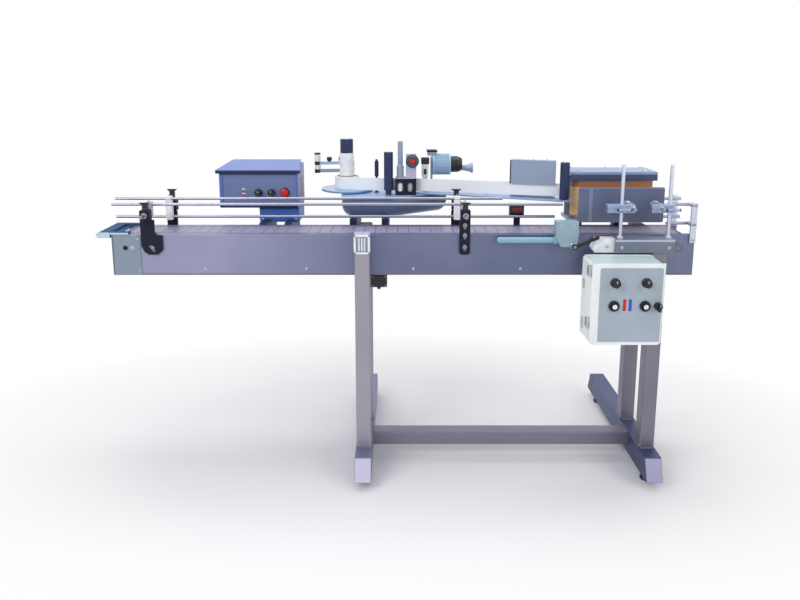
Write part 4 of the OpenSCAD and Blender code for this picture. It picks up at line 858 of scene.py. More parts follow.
def on_loop(travel):
    """Place on the chain's middle line after some travel from the infeed wheel's top, and the turn there."""
    if travel < RUN:
        x, z, slope = IDLER_X + travel, SHAFT_Z + LOOP_RADIUS, 0.0
    elif RUN + TURN <= travel < 2 * RUN + TURN:
        x, z, slope = DRIVE_X - (travel - RUN - TURN), SHAFT_Z - LOOP_RADIUS, math.pi
    else:
        wheel_x, straight = (DRIVE_X, RUN) if travel < RUN + TURN else (IDLER_X, 2 * RUN)
        slope = (travel - straight) / LOOP_RADIUS
        x = wheel_x + LOOP_RADIUS * math.sin(slope)
        z = SHAFT_Z + LOOP_RADIUS * math.cos(slope)
    return x, z, (math.degrees(slope), "Y", (x, CHAIN_MIDDLE, z))


chain = Piece("slat_chain")
half = PITCH / 2 - 0.5
for link in range(LINKS):
    x, z, turn = on_loop((link + 0.5) * PITCH)
    chain.block((x - half, CHAIN_FRONT, z - SLAT / 2), (x + half, CHAIN_BACK, z + SLAT / 2),
                slat_plastic, 0.7, turn)
    x, z, turn = on_loop(link * PITCH)
    for y in (CHAIN_MIDDLE - 24, CHAIN_MIDDLE + 24):
        chain.brick((x, y, z - HINGE_DROP), (6, 20, SLAT + 0.3), black_moulded, 0.5, turn)
chain.done("frame", "chain_slats", "chain_top_run", "chain_return")
print("links:", LINKS, "pitch:", round(PITCH, 2))

# %% [markdown]
# Inside the loop, toothed wheels turn on their shafts. The teeth show from the ends and below,
# so each wheel is cut as two toothed plates on one hub.

# %% Chain wheels
WHEEL_REACH, WHEEL_ROOT, TEETH = 41, 35, 11
HUB_FRONT, TOOTHED = 50, ((62, 76), (84, 98))
TOOTH = ((0.0, WHEEL_ROOT), (0.2, WHEEL_REACH), (0.5, WHEEL_REACH), (0.7, WHEEL_ROOT))
HUB = [(0, 0), (16.5, 0), (18, 1.5), (18, 58.5), (16.5, 60), (0, 60)]
CENTRE_HOLE = [(0, -1), (2.5, -1), (2.5, 0.05), (0, 0.05)]


def chain_wheel(job, x, back):
    wheel = Piece(f"{job}_wheel_toothed")
    outline = []
    for tooth, (share, radius) in product(range(TEETH), TOOTH):
        angle = 2 * math.pi * (tooth + share) / TEETH
        outline.append((x + radius * math.cos(angle), SHAFT_Z + radius * math.sin(angle)))
    for near, far in TOOTHED:
        wheel.plate(outline, "xz", near, far, slat_plastic, 0.8)
    wheel.turned((x, HUB_FRONT, SHAFT_Z), TO_BACK, HUB, cut_steel)
    wheel.rod((x, 0.2, SHAFT_Z), (x, back, SHAFT_Z), 9.9, bright_steel, 1.2)
    wheel.turned((x, 0.2, SHAFT_Z), TO_FRONT, CENTRE_HOLE, cut_steel, 20)
    wheel.done(f"{job}_wheel", "grey_steel", f"{job}_shaft")


chain_wheel("drive", DRIVE_X, 159)
chain_wheel("idler", IDLER_X, 160)

# %% [markdown]
# Some solids are right as they are, because they are plain stock deep inside the machine.
# They keep their shape: welding their corner points lets a bevel modifier break their edges,
# and they take a finish like everything else.

# %% Plain stock
JOIN_WITHIN = 0.00001
BROKEN_EDGE = 0.8

for node, finish in (("chain_supports", cut_steel), ("shaft_bearings", zinc)):
    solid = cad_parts[node]
    for slot in solid.material_slots:
        slot.material = finish
    solid.modifiers.new("join_corners", "WELD").merge_threshold = JOIN_WITHIN
    broken = solid.modifiers.new("broken_edges", "BEVEL")
    broken.width = BROKEN_EDGE * MM
    broken.segments = 2
    broken.limit_method = "ANGLE"
    print(node, "keeps its solid, in", finish.name)

# %% [markdown]
# A worm gearmotor drives the chain from behind. Its motor is a finned barrel with a fan cowl, and
# the gear casing has ribs and a round cover. It hides from the front, but not from the back.

# %% Drive gearmotor
GEAR_LOW, GEAR_HIGH = span("drive_gearmotor")
GEAR_X = GEAR_HIGH.x - 100
GEAR_COVER_X, GEAR_COVER_Z, GEAR_COVER_BOLTS = GEAR_X + 50, 778, 29
GEAR_COVER = [(0, 0), (36, 0), (36, 3), (33, 5), (14, 5), (12, 3.5), (0, 3.5)]
MOTOR_Y, MOTOR_Z, MOTOR_R = 258, 775, 42
BARREL = [(0, 0), (MOTOR_R, 0), (MOTOR_R, 9), (36, 11), (36, 128), (MOTOR_R - 1, 130), (MOTOR_R, 132),
          (MOTOR_R, 170), (MOTOR_R - 5, 178), (MOTOR_R - 12, 180), (0, 180)]

gear = Piece("drive_gearmotor_finned")
gear.block((GEAR_X, PLATE_BACK, GEAR_LOW.z), (GEAR_HIGH.x, GEAR_HIGH.y - 4, GEAR_HIGH.z),
           motor_grey, 6, steps=3)
gear.turned((GEAR_COVER_X, GEAR_HIGH.y - 5, GEAR_COVER_Z), TO_BACK, GEAR_COVER, motor_grey)
for x, z in arc(GEAR_COVER_X, GEAR_COVER_Z, GEAR_COVER_BOLTS, 0, 300, 5):
    gear.screws(x, GEAR_HIGH.y, z, TO_BACK, 2.6)
for rib in (GEAR_X + 8, GEAR_X + 92):
    gear.block((rib - 3, PLATE_BACK + 2, GEAR_LOW.z + 3), (rib + 3, GEAR_HIGH.y - 1, GEAR_HIGH.z - 3),
               motor_grey, 1)
gear.turned((GEAR_X, MOTOR_Y, MOTOR_Z), TO_LEFT, BARREL, motor_grey)
gear.ribs(30, "X", (GEAR_X, MOTOR_Y, MOTOR_Z), (GEAR_X - 127, MOTOR_Y - 1.1, MOTOR_Z + 34),
          (GEAR_X - 12, MOTOR_Y + 1.1, MOTOR_Z + 41), motor_grey)
for inner in (8, 14, 20, 26):
    gear.ring((GEAR_LOW.x + 0.2, MOTOR_Y, MOTOR_Z), TO_LEFT, inner, inner + 3, 0, 0.8, black_moulded)
gear.brick((GEAR_X - 63, MOTOR_Y, MOTOR_Z + 41.5), (66, 56, 7), motor_grey, 2)
gear.done("frame", "motor_grey", "drive_gearmotor")

# %% [markdown]
# The junction box is a small black moulding with a lid that is held by four screws, so box and
# lid are two rounded blocks. A six-sided cable gland points down from its floor.

# %% Junction box
JB_LOW, JB_HIGH = span("junction_box")
LID_SCREW = [(0, -1), (3, -1), (3, 0.2), (2.2, 0.5), (0, 0.5)]
CABLE_GLAND = [(0, -2), (8, -2), (8, 4), (6.5, 5), (6.5, 10), (4, 12), (0, 12)]

junction = Piece("junction_box_lidded")
junction.block((JB_LOW.x, JB_LOW.y + 4, JB_LOW.z), JB_HIGH, black_moulded, 3, steps=3)
junction.block((JB_LOW.x + 2, JB_LOW.y, JB_LOW.z + 2), (JB_HIGH.x - 2, JB_LOW.y + 6, JB_HIGH.z - 2),
               black_gloss, 2)
for x, z in product((JB_LOW.x + 7, JB_HIGH.x - 7), (JB_LOW.z + 7, JB_HIGH.z - 7)):
    junction.turned((x, JB_LOW.y, z), TO_FRONT, LID_SCREW, cut_steel, 16)
junction.turned((JB_LOW.x + 27, JB_LOW.y + 27, JB_LOW.z), DOWN, CABLE_GLAND, black_moulded, 6)
junction.done("frame", "black_plastic", "junction_box")

# %% [markdown]
# Guide rods line both sides of the chain. Each rod sits in clamp blocks on cross rods, which slide
# in the heads of black brackets and are locked by wing knobs. Brackets are laser-cut plate, so an
# outline is drawn and given a thickness. Behind the rear rods a small sensor on a stem of its own
# looks across the chain.

# %% Guide brackets
FRONT_X, REAR_X = (-825, 231), (-795, 215)
HEAD_LOW, HEAD_TOP, HEAD_HALF, HEAD_DEEP = 900, 936, 16, 30
BRACKET_GAUGE, CROSS_Z = 8, 918
WIDE = [(-23, 50), (23, 50), (23, 8), (30, 0), (47, -4), (47, -53), (32, -68), (0, -68), (-14, -58),
        (-23, -38)]
NARROW = [(-18, 50), (18, 50), (18, -62), (12, -68), (-12, -68), (-18, -62)]
HEAD_BUSH = [(6.3, -1), (9, -1), (9, 1.2), (7, 1.6), (6.3, 1)]
SLOT_X, SLOT_Z, SLOT_SLOPE = FRONT_X[0] + 13, 803, -38
FRONT_SLOTS, REAR_BOLTS = (880, 846, 806), (800, 835)

brackets = Piece("guide_brackets_cut")
for x, outline, face, out in ((FRONT_X[0], WIDE, PLATE_FRONT, -1), (FRONT_X[1], NARROW, PLATE_FRONT, -1),
                              (REAR_X[0], NARROW, PLATE_BACK, 1), (REAR_X[1], NARROW, PLATE_BACK, 1)):
    near, far = depths(face, out, 0, BRACKET_GAUGE)
    brackets.plate(moved(outline, x, CHAIN_TOP), "xz", near, far, black_coat, 1.4)
    near, far = depths(face, out, 0, HEAD_DEEP)
    brackets.block((x - HEAD_HALF, near, HEAD_LOW), (x + HEAD_HALF, far, HEAD_TOP), black_coat, 2.5, steps=3)
    end = face + out * (HEAD_DEEP - 0.2)
    brackets.turned((x, end, CROSS_Z), (0, out, 0), HEAD_BUSH, zinc, 32)
brackets.brick((SLOT_X, -BRACKET_GAUGE - 0.1, SLOT_Z), (8, 2.2, 26), cut_steel, 1,
               (SLOT_SLOPE, "Y", (SLOT_X, 0, SLOT_Z)))
brackets.screws(SLOT_X + 2, -BRACKET_GAUGE - 1, SLOT_Z + 3, TO_FRONT, 4.5, bright_steel)
for z in FRONT_SLOTS:
    brackets.brick((FRONT_X[1], -BRACKET_GAUGE, z), (8, 2, 22), cut_steel, 1)
    brackets.screws(FRONT_X[1], -BRACKET_GAUGE - 0.6, z + 2, TO_FRONT, 4.8, bright_steel)
brackets.screws(REAR_X, PLATE_BACK + BRACKET_GAUGE, REAR_BOLTS, TO_BACK, 4.5)
print("brackets cut:", len(FRONT_X) + len(REAR_X))

# %% Chain sensor
EYE_X, EYE_LOW, EYE_TOP, STEM_LOW = 431, 876, 924, 806
EYE_GLASS = [(0, -1), (7, -1), (7, 0.6), (5.5, 1), (5, 0.2), (0, 0)]

stem = [(EYE_X - 11, STEM_LOW), (EYE_X + 11, STEM_LOW), (EYE_X + 11, EYE_LOW + 4), (EYE_X - 11, EYE_LOW + 4)]
brackets.plate(stem, "xz", PLATE_BACK, PLATE_BACK + BRACKET_GAUGE, black_coat, 1.4)
brackets.block((EYE_X - 25, PLATE_BACK, EYE_LOW), (EYE_X + 25, PLATE_BACK + 34, EYE_TOP),
               navy_enamel, 3, steps=3)
brackets.block((EYE_X - 20, PLATE_BACK - 0.8, EYE_LOW + 5), (EYE_X + 20, PLATE_BACK + 2, EYE_TOP - 5),
               black_gloss, 1)
for x in (EYE_X - 9, EYE_X + 9):
    brackets.turned((x, PLATE_BACK - 0.6, EYE_TOP - 20), TO_FRONT, EYE_GLASS, red_lamp, 24)
brackets.screws(EYE_X, PLATE_BACK + BRACKET_GAUGE, (STEM_LOW + 10, EYE_LOW - 16), TO_BACK, 4)
brackets.done("frame", "black_metal", "guide_brackets")

# %% Guide rods
ROD, CROSS, CROSS_LONG = 5, 6, 84
RAIL_LEFT, REAR_LEFT, RAIL_RIGHT = span("front_guide_rail")[0].x, span("rear_guide_rails")[0].x, 560
OUT_LEFT, OUT_RIGHT = span("outfeed_guides")[0].x, span("outfeed_guides")[1].x
OUT_POST, OUT_POST_LOW, REAR_HIGH_RIGHT = OUT_RIGHT - 20, 822, 375
FRONT_RAIL_Y, REAR_RAIL_Y = 22, 138
HIGH_RAIL, LOW_RAIL, CLAMP_TOP = 948, 884, 957
FRONT_CLAMP_LOW, REAR_CLAMP_LOW = 907, 873


def rail(piece, left, right, y, z):
    piece.rod((left, y, z), (right, y, z), ROD, bright_steel, 1.5)


def rail_clamp(piece, x, y, low, out, finish):
    """Split clamp block on a rod, with its pinch screw on the outer face, and its cross rod."""
    piece.block((x - 11, y - 10, low), (x + 11, y + 10, CLAMP_TOP), finish, 1.8)
    piece.block((x - 11.4, y - 10.2, CLAMP_TOP - 11), (x + 11.4, y + 10.2, CLAMP_TOP - 9.6), cut_steel, 0.2)
    piece.screws(x, y, CLAMP_TOP, UP, 3.6)
    piece.screws(x - 6, y + out * 10, low + 9, (0, out, 0), 2.8)
    near, far = depths(y, out, 0, CROSS_LONG)
    piece.rod((x, near, CROSS_Z), (x, far, CROSS_Z), CROSS, bright_steel, 1.5)


front = Piece("front_guide_rod")
rail(front, RAIL_LEFT, RAIL_RIGHT, FRONT_RAIL_Y, HIGH_RAIL)
for x in FRONT_X:
    rail_clamp(front, x, FRONT_RAIL_Y, FRONT_CLAMP_LOW, -1, light_coat)
front.done("front_guide", "bright_steel", "front_guide_rail")

rear = Piece("rear_guide_rods")
rail(rear, REAR_LEFT, REAR_HIGH_RIGHT, REAR_RAIL_Y, HIGH_RAIL)
rail(rear, REAR_LEFT, RAIL_RIGHT, REAR_RAIL_Y, LOW_RAIL)
for x in REAR_X:
    rail_clamp(rear, x, REAR_RAIL_Y, REAR_CLAMP_LOW, 1, roller_white)
rear.done("rear_guide", "bright_steel", "rear_guide_rails")

outfeed = Piece("outfeed_guide_rods")
for y, face, out in ((FRONT_RAIL_Y, PLATE_FRONT, -1), (REAR_RAIL_Y, PLATE_BACK, 1)):
    outer = face + out * BRACKET_GAUGE
    near, far = sorted((outer, y - out * ROD))
    for z in (HIGH_RAIL, LOW_RAIL):
        rail(outfeed, OUT_LEFT, OUT_RIGHT, y, z)
        outfeed.block((OUT_POST, near, z - 5.5), (OUT_RIGHT, far, z + 5.5), light_coat, 1.2)
    near, far = sorted((outer, face))
    outfeed.block((OUT_POST, near, OUT_POST_LOW), (OUT_RIGHT, far, CLAMP_TOP + 2), post_steel, 1.5)
    outfeed.screws(OUT_POST + 10, outer, OUT_POST_LOW + 10, (0, out, 0), 3.5)
outfeed.done("frame", "bright_steel", "outfeed_guides")

# %% Wing knobs
HANDS = ("left", "right")
WING = [(-9, -18), (-8, -8), (-12, -3), (-17.5, 0), (-16, 1.5), (16, 1.5), (17.5, 0), (12, -3), (8, -8),
        (9, -18)]


def wing_knob(corner, x, y, height):
    knob = Piece(f"{corner}_wing_knob")
    top = HEAD_TOP + height - 1.5
    stem = [(0, 0), (9, 0), (9.6, 1), (9.2, height - 20), (8, height - 15), (0, height - 15)]
    knob.turned((x, y, HEAD_TOP + 0.3), UP, stem, black_moulded)
    knob.plate(moved(WING, x, top), "xz", y - 5.2, y + 5.2, black_moulded, 2.2, steps=3)
    knob.rod((x, y, HEAD_TOP - 9), (x, y, HEAD_TOP + 1), 3.9, zinc, 0.5, 20)
    knob.done(f"{corner}_knob", "black_plastic", f"{corner}_knob")


for row, places, y, height in (("front", FRONT_X, PLATE_FRONT - HEAD_DEEP / 2, 24),
                               ("rear", REAR_X, PLATE_BACK + HEAD_DEEP / 2, 40)):
    for hand, x in zip(HANDS, places):
        wing_knob(f"{row}_{hand}", x, y, height)

# %% [markdown]
# The control box hangs under the pad shelf: a pressed and enamelled tray with rounded corners, a
# hinged door, and a grey panel with the speed knobs, two buttons and the isolator. The door
# swings open and shows the inside, so the tray is hollow and holds a plate with two rails, one
# for terminals and one for relays.

# %% Control box
TRAY_LEFT, TRAY_RIGHT, TRAY_LOW, TRAY_TOP = 615, 842, 528, 795
TRAY_BACK, TRAY_FRONT, CORNER = -56, -160, 13
INNER_LEFT, INNER_RIGHT, INNER_LOW, INNER_TOP, INNER_FACE = 640, 818, 552, 770, -62
MOUNT_LEFT, MOUNT_RIGHT, MOUNT_LOW, MOUNT_TOP = 676, 890, 560, 765
TERMINAL_Z, TERMINAL_LEFT, TERMINAL_PITCH, TERMINAL_FACE = 598, 658, 16, -98
RELAY_Z, RELAYS = 706, [(654, 708, -118), (713, 749, -106), (754, 804, -112)]
HINGE_X, HINGE_Y, HINGES = 609, -165.3, (600, 770)
LUGS, GLAND_X = ((690, 720), (556, 590)), (676, 784)
TRAY_GLAND = [(0, -2), (11, -2), (11, 3), (9, 4), (9, 9), (6, 12), (0, 12)]


def inset(margin, radius):
    """Front outline of the box, drawn in by a margin."""
    return rounded(TRAY_LEFT + margin, TRAY_LOW + margin, TRAY_RIGHT - margin, TRAY_TOP - margin, radius)


tray = Piece("control_box_tray")
tray.collar(inset(0, CORNER), inset(4, CORNER - 4), "xz", TRAY_FRONT, TRAY_BACK, white_enamel, 1.2)
tray.plate(inset(2, CORNER - 2), "xz", TRAY_BACK - 4, TRAY_BACK - 0.2, white_enamel, 0.8)
tray.collar(inset(-1.5, CORNER), inset(2, CORNER - 2), "xz", TRAY_BACK - 14, TRAY_BACK - 2, white_enamel, 1.5)
tray.plate(rounded(INNER_LEFT, INNER_LOW, INNER_RIGHT, INNER_TOP, 4), "xz", INNER_FACE, INNER_FACE + 2,
           zinc, 0.5)
tray.block((MOUNT_LEFT, TRAY_BACK, MOUNT_LOW), (MOUNT_RIGHT, TRAY_BACK + 6, MOUNT_TOP), white_enamel, 1.5)
tray.screws((INNER_LEFT + 12, INNER_RIGHT - 12), INNER_FACE, (INNER_LOW + 12, INNER_TOP - 12), TO_FRONT, 3)
for z in (TERMINAL_Z, RELAY_Z):
    tray.block((INNER_LEFT + 6, INNER_FACE - 5, z - 17.5), (INNER_RIGHT - 6, INNER_FACE + 0.5, z + 17.5),
               zinc, 0.8)
for terminal in range(9):
    left = TERMINAL_LEFT + TERMINAL_PITCH * terminal
    tray.block((left, TERMINAL_FACE, TERMINAL_Z - 22), (left + 14.6, INNER_FACE - 4, TERMINAL_Z + 22),
               panel_grey, 1.5)
    tray.screws(left + 7.3, TERMINAL_FACE, (TERMINAL_Z - 14, TERMINAL_Z + 14), TO_FRONT, 2.4)
for left, right, face in RELAYS:
    tray.block((left, face, RELAY_Z - 40), (right, INNER_FACE - 4, RELAY_Z + 40), black_moulded, 2)
    tray.block((left + 6, face - 2, RELAY_Z - 14), (right - 6, face + 2, RELAY_Z + 14), light_coat, 1)
for z in HINGES:
    tray.rod((HINGE_X, HINGE_Y, z - 18), (HINGE_X, HINGE_Y, z - 0.2), 5, zinc, 0.8, 24)
    tray.rod((HINGE_X, HINGE_Y, z - 20), (HINGE_X, HINGE_Y, z + 18), 2.4, bright_steel, 0.5, 16)
    tray.block((HINGE_X, HINGE_Y + 1, z - 17.5), (HINGE_X + 8, TRAY_FRONT + 14, z - 0.5), zinc, 0.8)
    tray.brick((TRAY_LEFT - 1.1, TRAY_FRONT + 25, z - 9), (3, 30, 30), cut_steel, 1)
    tray.screws(TRAY_LEFT - 2.4, TRAY_FRONT + 33, (z - 17, z - 2), TO_LEFT, 2.6)
for low, high in LUGS:
    tray.block((TRAY_LEFT - 3.5, TRAY_BACK - 36, low), (TRAY_LEFT + 0.5, TRAY_BACK - 18, high), zinc, 1.2)
for x in GLAND_X:
    tray.turned((x, TRAY_FRONT + 60, TRAY_LOW), DOWN, TRAY_GLAND, black_moulded, 24)
tray.done("frame", "white_enamel", "control_box")

# %% Control door
DOOR_BACK, DOOR_FACE, PANEL_FACE = -160.3, -170.3, -171.3
KNOB_X, KNOB_Z, BUTTON_Z, ISOLATOR_X = (688, 786), 733, 657, 826
BUTTON_RING = [(11.1, -1), (17.5, -1), (17.5, 1.2), (16.6, 3), (16.4, 6.4), (15, 8), (12.4, 8), (11.1, 6.6)]
TICKS, TICK_STEP, FIRST_TICK = 11, 27, 225
INDICATORS = ((721, red_moulded), (739, blue_bar))

door = Piece("control_door_panel")
door.plate(inset(0, CORNER), "xz", DOOR_FACE, DOOR_BACK, white_enamel, 3.2, steps=4)
door.collar(inset(6, 8), inset(11, 5), "xz", DOOR_BACK - 0.2, DOOR_BACK + 3, black_moulded, 0.8)
door.plate(rounded(TRAY_LEFT + 26, TRAY_LOW + 10, TRAY_RIGHT - 4, TRAY_TOP - 15, 6), "xz",
           DOOR_FACE - 0.9, DOOR_FACE + 2, panel_grey, 0.5)
for z in HINGES:
    door.rod((HINGE_X, HINGE_Y, z + 0.4), (HINGE_X, HINGE_Y, z + 18), 5, zinc, 0.8, 24)
    door.block((HINGE_X + 1, HINGE_Y - 3, z + 0.8), (HINGE_X + 11, HINGE_Y + 3, z + 17.6), zinc, 0.8)
for x in KNOB_X:
    door.turned((x, PANEL_FACE, BUTTON_Z), TO_FRONT, BUTTON_RING, black_gloss)
    door.ring((x, PANEL_FACE, KNOB_Z), TO_FRONT, 4.2, 20, -1, 0.15, light_coat)
    for tick in range(TICKS):
        turn = (TICK_STEP * tick - FIRST_TICK, "Y", (x, PANEL_FACE, KNOB_Z))
        door.brick((x + 22.5, PANEL_FACE + 0.375, KNOB_Z), (4, 1.25, 0.8), white_moulded, 0, turn)
for x, finish in INDICATORS:
    door.brick((x, PANEL_FACE - 0.3, BUTTON_Z + 3), (9, 2.6, 38), finish, 0.8)
door.done("control_door", "white_enamel", "control_door")

# %% [markdown]
# Knobs are moulded with a skirt, a fluted grip and a white pointer line. One function makes both
# sizes, and each knob rides on its own body so that it can be turned.

# %% Dials and buttons
DIAL_LONG, FLUTES = 22, 18
BUTTON = [(0, -16), (10.9, -16), (10.9, 2), (10.4, 3.2), (9.4, 3.7), (0, 3.2)]
BUTTON_CAP = [(0, 2), (7.6, 2), (7.6, 3.6), (6.8, 4), (3, 3.7), (0, 3.6)]
BUTTON_STOP = [(0, -2), (13, -2), (13, 0), (0, 0)]
ISOLATOR_BASE = [(0, 0), (12.6, 0), (13, 0.8), (13, 8), (12, 11), (9, 12.2), (0, 12.2)]
ISOLATOR_GRIP = [(-4, -12.6), (4, -12.6), (3, 12.6), (-3, 12.6)]


def spindle(piece, x, start, end, z):
    piece.rod((x, start, z), (x, end, z), 3.9, zinc, 0.4, 16)


def fluted_knob(job, x, face, z, radius):
    knob = Piece(f"{job}_dial")
    grip, tip = radius * 0.78, face - DIAL_LONG
    outline = [(0, 0), (radius * 0.97, 0), (radius, 0.8), (radius, 3), (radius * 0.93, 4.6), (grip, 6),
               (grip * 0.96, DIAL_LONG - 1.6), (grip * 0.86, DIAL_LONG), (grip * 0.5, DIAL_LONG - 0.5),
               (0, DIAL_LONG - 0.5)]
    knob.turned((x, face - 0.3, z), TO_FRONT, outline, black_moulded)
    knob.ribs(FLUTES, "Y", (x, face, z), (x - 0.9, tip + 1.7, z + grip - 0.8),
              (x + 0.9, face - 6.2, z + grip + 0.8), black_moulded)
    knob.brick((x, tip, z + grip * 0.52), (1.8, 1.2, grip * 0.64), white_moulded, 0.2)
    knob.block((x - 0.8, face - 4.5, z + grip + 0.4), (x + 0.8, face - 2.5, z + radius * 0.985),
               white_moulded, 0.2)
    spindle(knob, x, face - 1, face + 15, z)
    knob.done(f"{job}_knob", "black_plastic", f"{job}_knob")


def press_button(job, x):
    button = Piece(f"{job}_push_button")
    face = PANEL_FACE - 8
    button.turned((x, face, BUTTON_Z), TO_FRONT, BUTTON, black_gloss)
    button.turned((x, face, BUTTON_Z), TO_FRONT, BUTTON_CAP, white_moulded)
    button.turned((x, face + 20.5, BUTTON_Z), TO_FRONT, BUTTON_STOP, black_moulded, 32)
    button.done(f"{job}_button", "button_white", f"{job}_button")


for hand, x in zip(HANDS, KNOB_X):
    fluted_knob(f"{hand}_speed", x, PANEL_FACE, KNOB_Z, 16)
for job, x in zip(("start", "stop"), KNOB_X):
    press_button(job, x)

isolator = Piece("isolator_handle")
isolator.turned((ISOLATOR_X, PANEL_FACE - 0.3, BUTTON_Z), TO_FRONT, ISOLATOR_BASE, black_gloss)
isolator.plate(moved(ISOLATOR_GRIP, ISOLATOR_X, BUTTON_Z), "xz", PANEL_FACE - 24.4, PANEL_FACE - 8,
               black_moulded, 1.4, steps=3)
isolator.brick((ISOLATOR_X, PANEL_FACE - 23.8, BUTTON_Z + 7.5), (1.4, 1.6, 7), white_moulded, 0.2)
spindle(isolator, ISOLATOR_X, PANEL_FACE - 1, PANEL_FACE + 15, BUTTON_Z)
isolator.done("isolator_knob", "black_plastic", "isolator_knob")

# %% [markdown]
# The console is a desk-shaped casing behind the chain, with a blue roof that overhangs a recessed
# grey face and narrows towards the back. Its knobs, lamps and the red button sit in one row. The
# roof's front edge is a navy strip, partly its own dark edge and partly a painted shadow below the overhang,
# and two navy strips across the top and the foot of the face are painted shade; they are strips of their own.

# %% Console casing
CON_LOW, CON_HIGH = span("console_body")
FACE_TOP, SHADE_STRIP = CON_LOW.z + 132, 9
LAMP_X, DIAL_X, STOP_X, CONTROL_Z = -552, (-498, -451), -404, 955
LAMP_RING = [(0, 0), (7, 0), (7, 2), (5.6, 3), (0, 3)]
LAMP_LENS = [(0, 0), (5, 0), (5, 3), (4, 5), (2, 6), (0, 6.2)]
STOP_RING = [(8.2, 0), (18, 0), (18, 1.5), (16, 3), (8.2, 3)]

casing = Piece("console_casing")
casing.plate([(CON_LOW.y + 3, CON_LOW.z), (CON_LOW.y + 3, FACE_TOP), (CON_HIGH.y, CON_HIGH.z),
              (CON_HIGH.y, CON_LOW.z)], "yz", CON_LOW.x, CON_HIGH.x, console_face, 2.5, steps=3)
for left, right in ((CON_LOW.x, CON_LOW.x + 13), (CON_HIGH.x - 9, CON_HIGH.x)):
    casing.block((left, CON_LOW.y, CON_LOW.z), (right, CON_LOW.y + 8, FACE_TOP - 1), console_blue, 1.2)
# Two navy strips across the top and the foot of the face: painted shade under the roof and along the foot.
for low in (CON_LOW.z, FACE_TOP - 1 - SHADE_STRIP):
    casing.block((CON_LOW.x + 1, CON_LOW.y, low), (CON_HIGH.x - 1, CON_LOW.y + 8, low + SHADE_STRIP),
                 navy_enamel, 1.2)
for x, slot in product((CON_LOW.x, CON_HIGH.x), range(6)):
    low = CON_LOW.z + 34 + slot * 12
    casing.block((x - 0.7, CON_LOW.y + 50, low), (x + 0.7, CON_LOW.y + 130, low + 4), black_moulded, 0.5)
for slot in range(7):
    left = CON_LOW.x + 50 + slot * 28
    casing.block((left, CON_HIGH.y - 0.6, CON_LOW.z + 40), (left + 8, CON_HIGH.y + 0.6, CON_LOW.z + 118),
                 black_moulded, 0.5)
for z, finish in ((CONTROL_Z + 8, green_lamp), (CONTROL_Z - 8, red_lamp)):
    casing.turned((LAMP_X, CON_LOW.y + 3.5, z), TO_FRONT, LAMP_RING, zinc, 24)
    casing.turned((LAMP_X, CON_LOW.y + 1, z), TO_FRONT, LAMP_LENS, finish, 24)
casing.turned((STOP_X, CON_LOW.y + 3.2, CONTROL_Z), TO_FRONT, STOP_RING, black_gloss)
casing.done("frame", "console_grey", "console_body")

# %% Console roof
ROOF_LOW, ROOF_HIGH = span("console_roof")
ROOF_LEFT, ROOF_RIGHT = ROOF_LOW.x, ROOF_HIGH.x
ROOF_TAPER, ROOF_GAUGE, TRIM = 22, 8, 2.4

roof = Piece("console_roof_sheet")


def roof_strip(left, right, drop, rise, finish, soften):
    """Sheet over the roof's depth, from a drop under it to a rise in it. Its ends draw in to the back."""
    rings = []
    for y, z, taper in ((ROOF_LOW.y, ROOF_LOW.z, 0), (ROOF_HIGH.y, ROOF_HIGH.z - ROOF_GAUGE, ROOF_TAPER)):
        low, high = [x + (taper if x - ROOF_LEFT < ROOF_RIGHT - x else -taper) for x in (left, right)]
        rings.append(([(low, z - drop), (high, z - drop), (high, z + rise), (low, z + rise)], y))
    roof.loft(rings, "xz", finish, soften)


roof_strip(ROOF_LEFT, ROOF_RIGHT, 0, ROOF_GAUGE, console_blue, 1.6)
# Navy trims at the ends and along the front reach below the roof: partly its dark paint, partly a painted
# shadow under the overhang.
roof_strip(ROOF_LEFT, ROOF_LEFT + TRIM, 4, 5, navy_enamel, 0.6)
roof_strip(ROOF_RIGHT - TRIM, ROOF_RIGHT, 4, 5, navy_enamel, 0.6)
roof.block((ROOF_LEFT + 0.5, ROOF_LOW.y - 0.8, ROOF_LOW.z - 5),
           (ROOF_RIGHT - 0.5, ROOF_LOW.y + 2, ROOF_LOW.z + 5.5), navy_enamel, 0.8)
roof.done("frame", "console_roof", "console_roof")

# %% Console plinth, dials and stop button
BASE_LOW, BASE_HIGH = span("console_base")
MUSHROOM = [(0, 0), (12.5, 0), (14.6, 1.6), (15, 4), (14.2, 7), (12, 9), (7, 9.9), (0, 10)]

plinth = Piece("console_plinth")
plinth.block(BASE_LOW, BASE_HIGH, blue_enamel, 2.5, steps=3)
plinth.block((BASE_LOW.x - 0.5, BASE_LOW.y - 0.5, BASE_HIGH.z - 6),
             (BASE_HIGH.x, BASE_HIGH.y + 0.5, BASE_HIGH.z - 2), navy_enamel, 0.5)
plinth.screws((BASE_LOW.x + 12, BASE_HIGH.x - 12), BASE_LOW.y, BASE_LOW.z + 12, TO_FRONT, 3.4)
plinth.done("frame", "blue_enamel", "console_base")

for hand, x in zip(HANDS, DIAL_X):
    fluted_knob(f"console_{hand}", x, CON_LOW.y, CONTROL_Z, 14)

stop = Piece("emergency_mushroom")
stop.turned((STOP_X, CON_LOW.y - 5, CONTROL_Z), TO_FRONT, MUSHROOM, red_moulded)
stop.rod((STOP_X, CON_LOW.y - 6, CONTROL_Z), (STOP_X, CON_LOW.y + 5, CONTROL_Z), 7.9, black_moulded, 0.5)
stop.done("emergency_button", "red_plastic", "emergency_button")

# %% [markdown]
# Deep bars reach back from the rear side plate and carry the console, the head and the belt unit.
# Each has a bolted foot. What they carry hides most of them, so plain blocks will do.

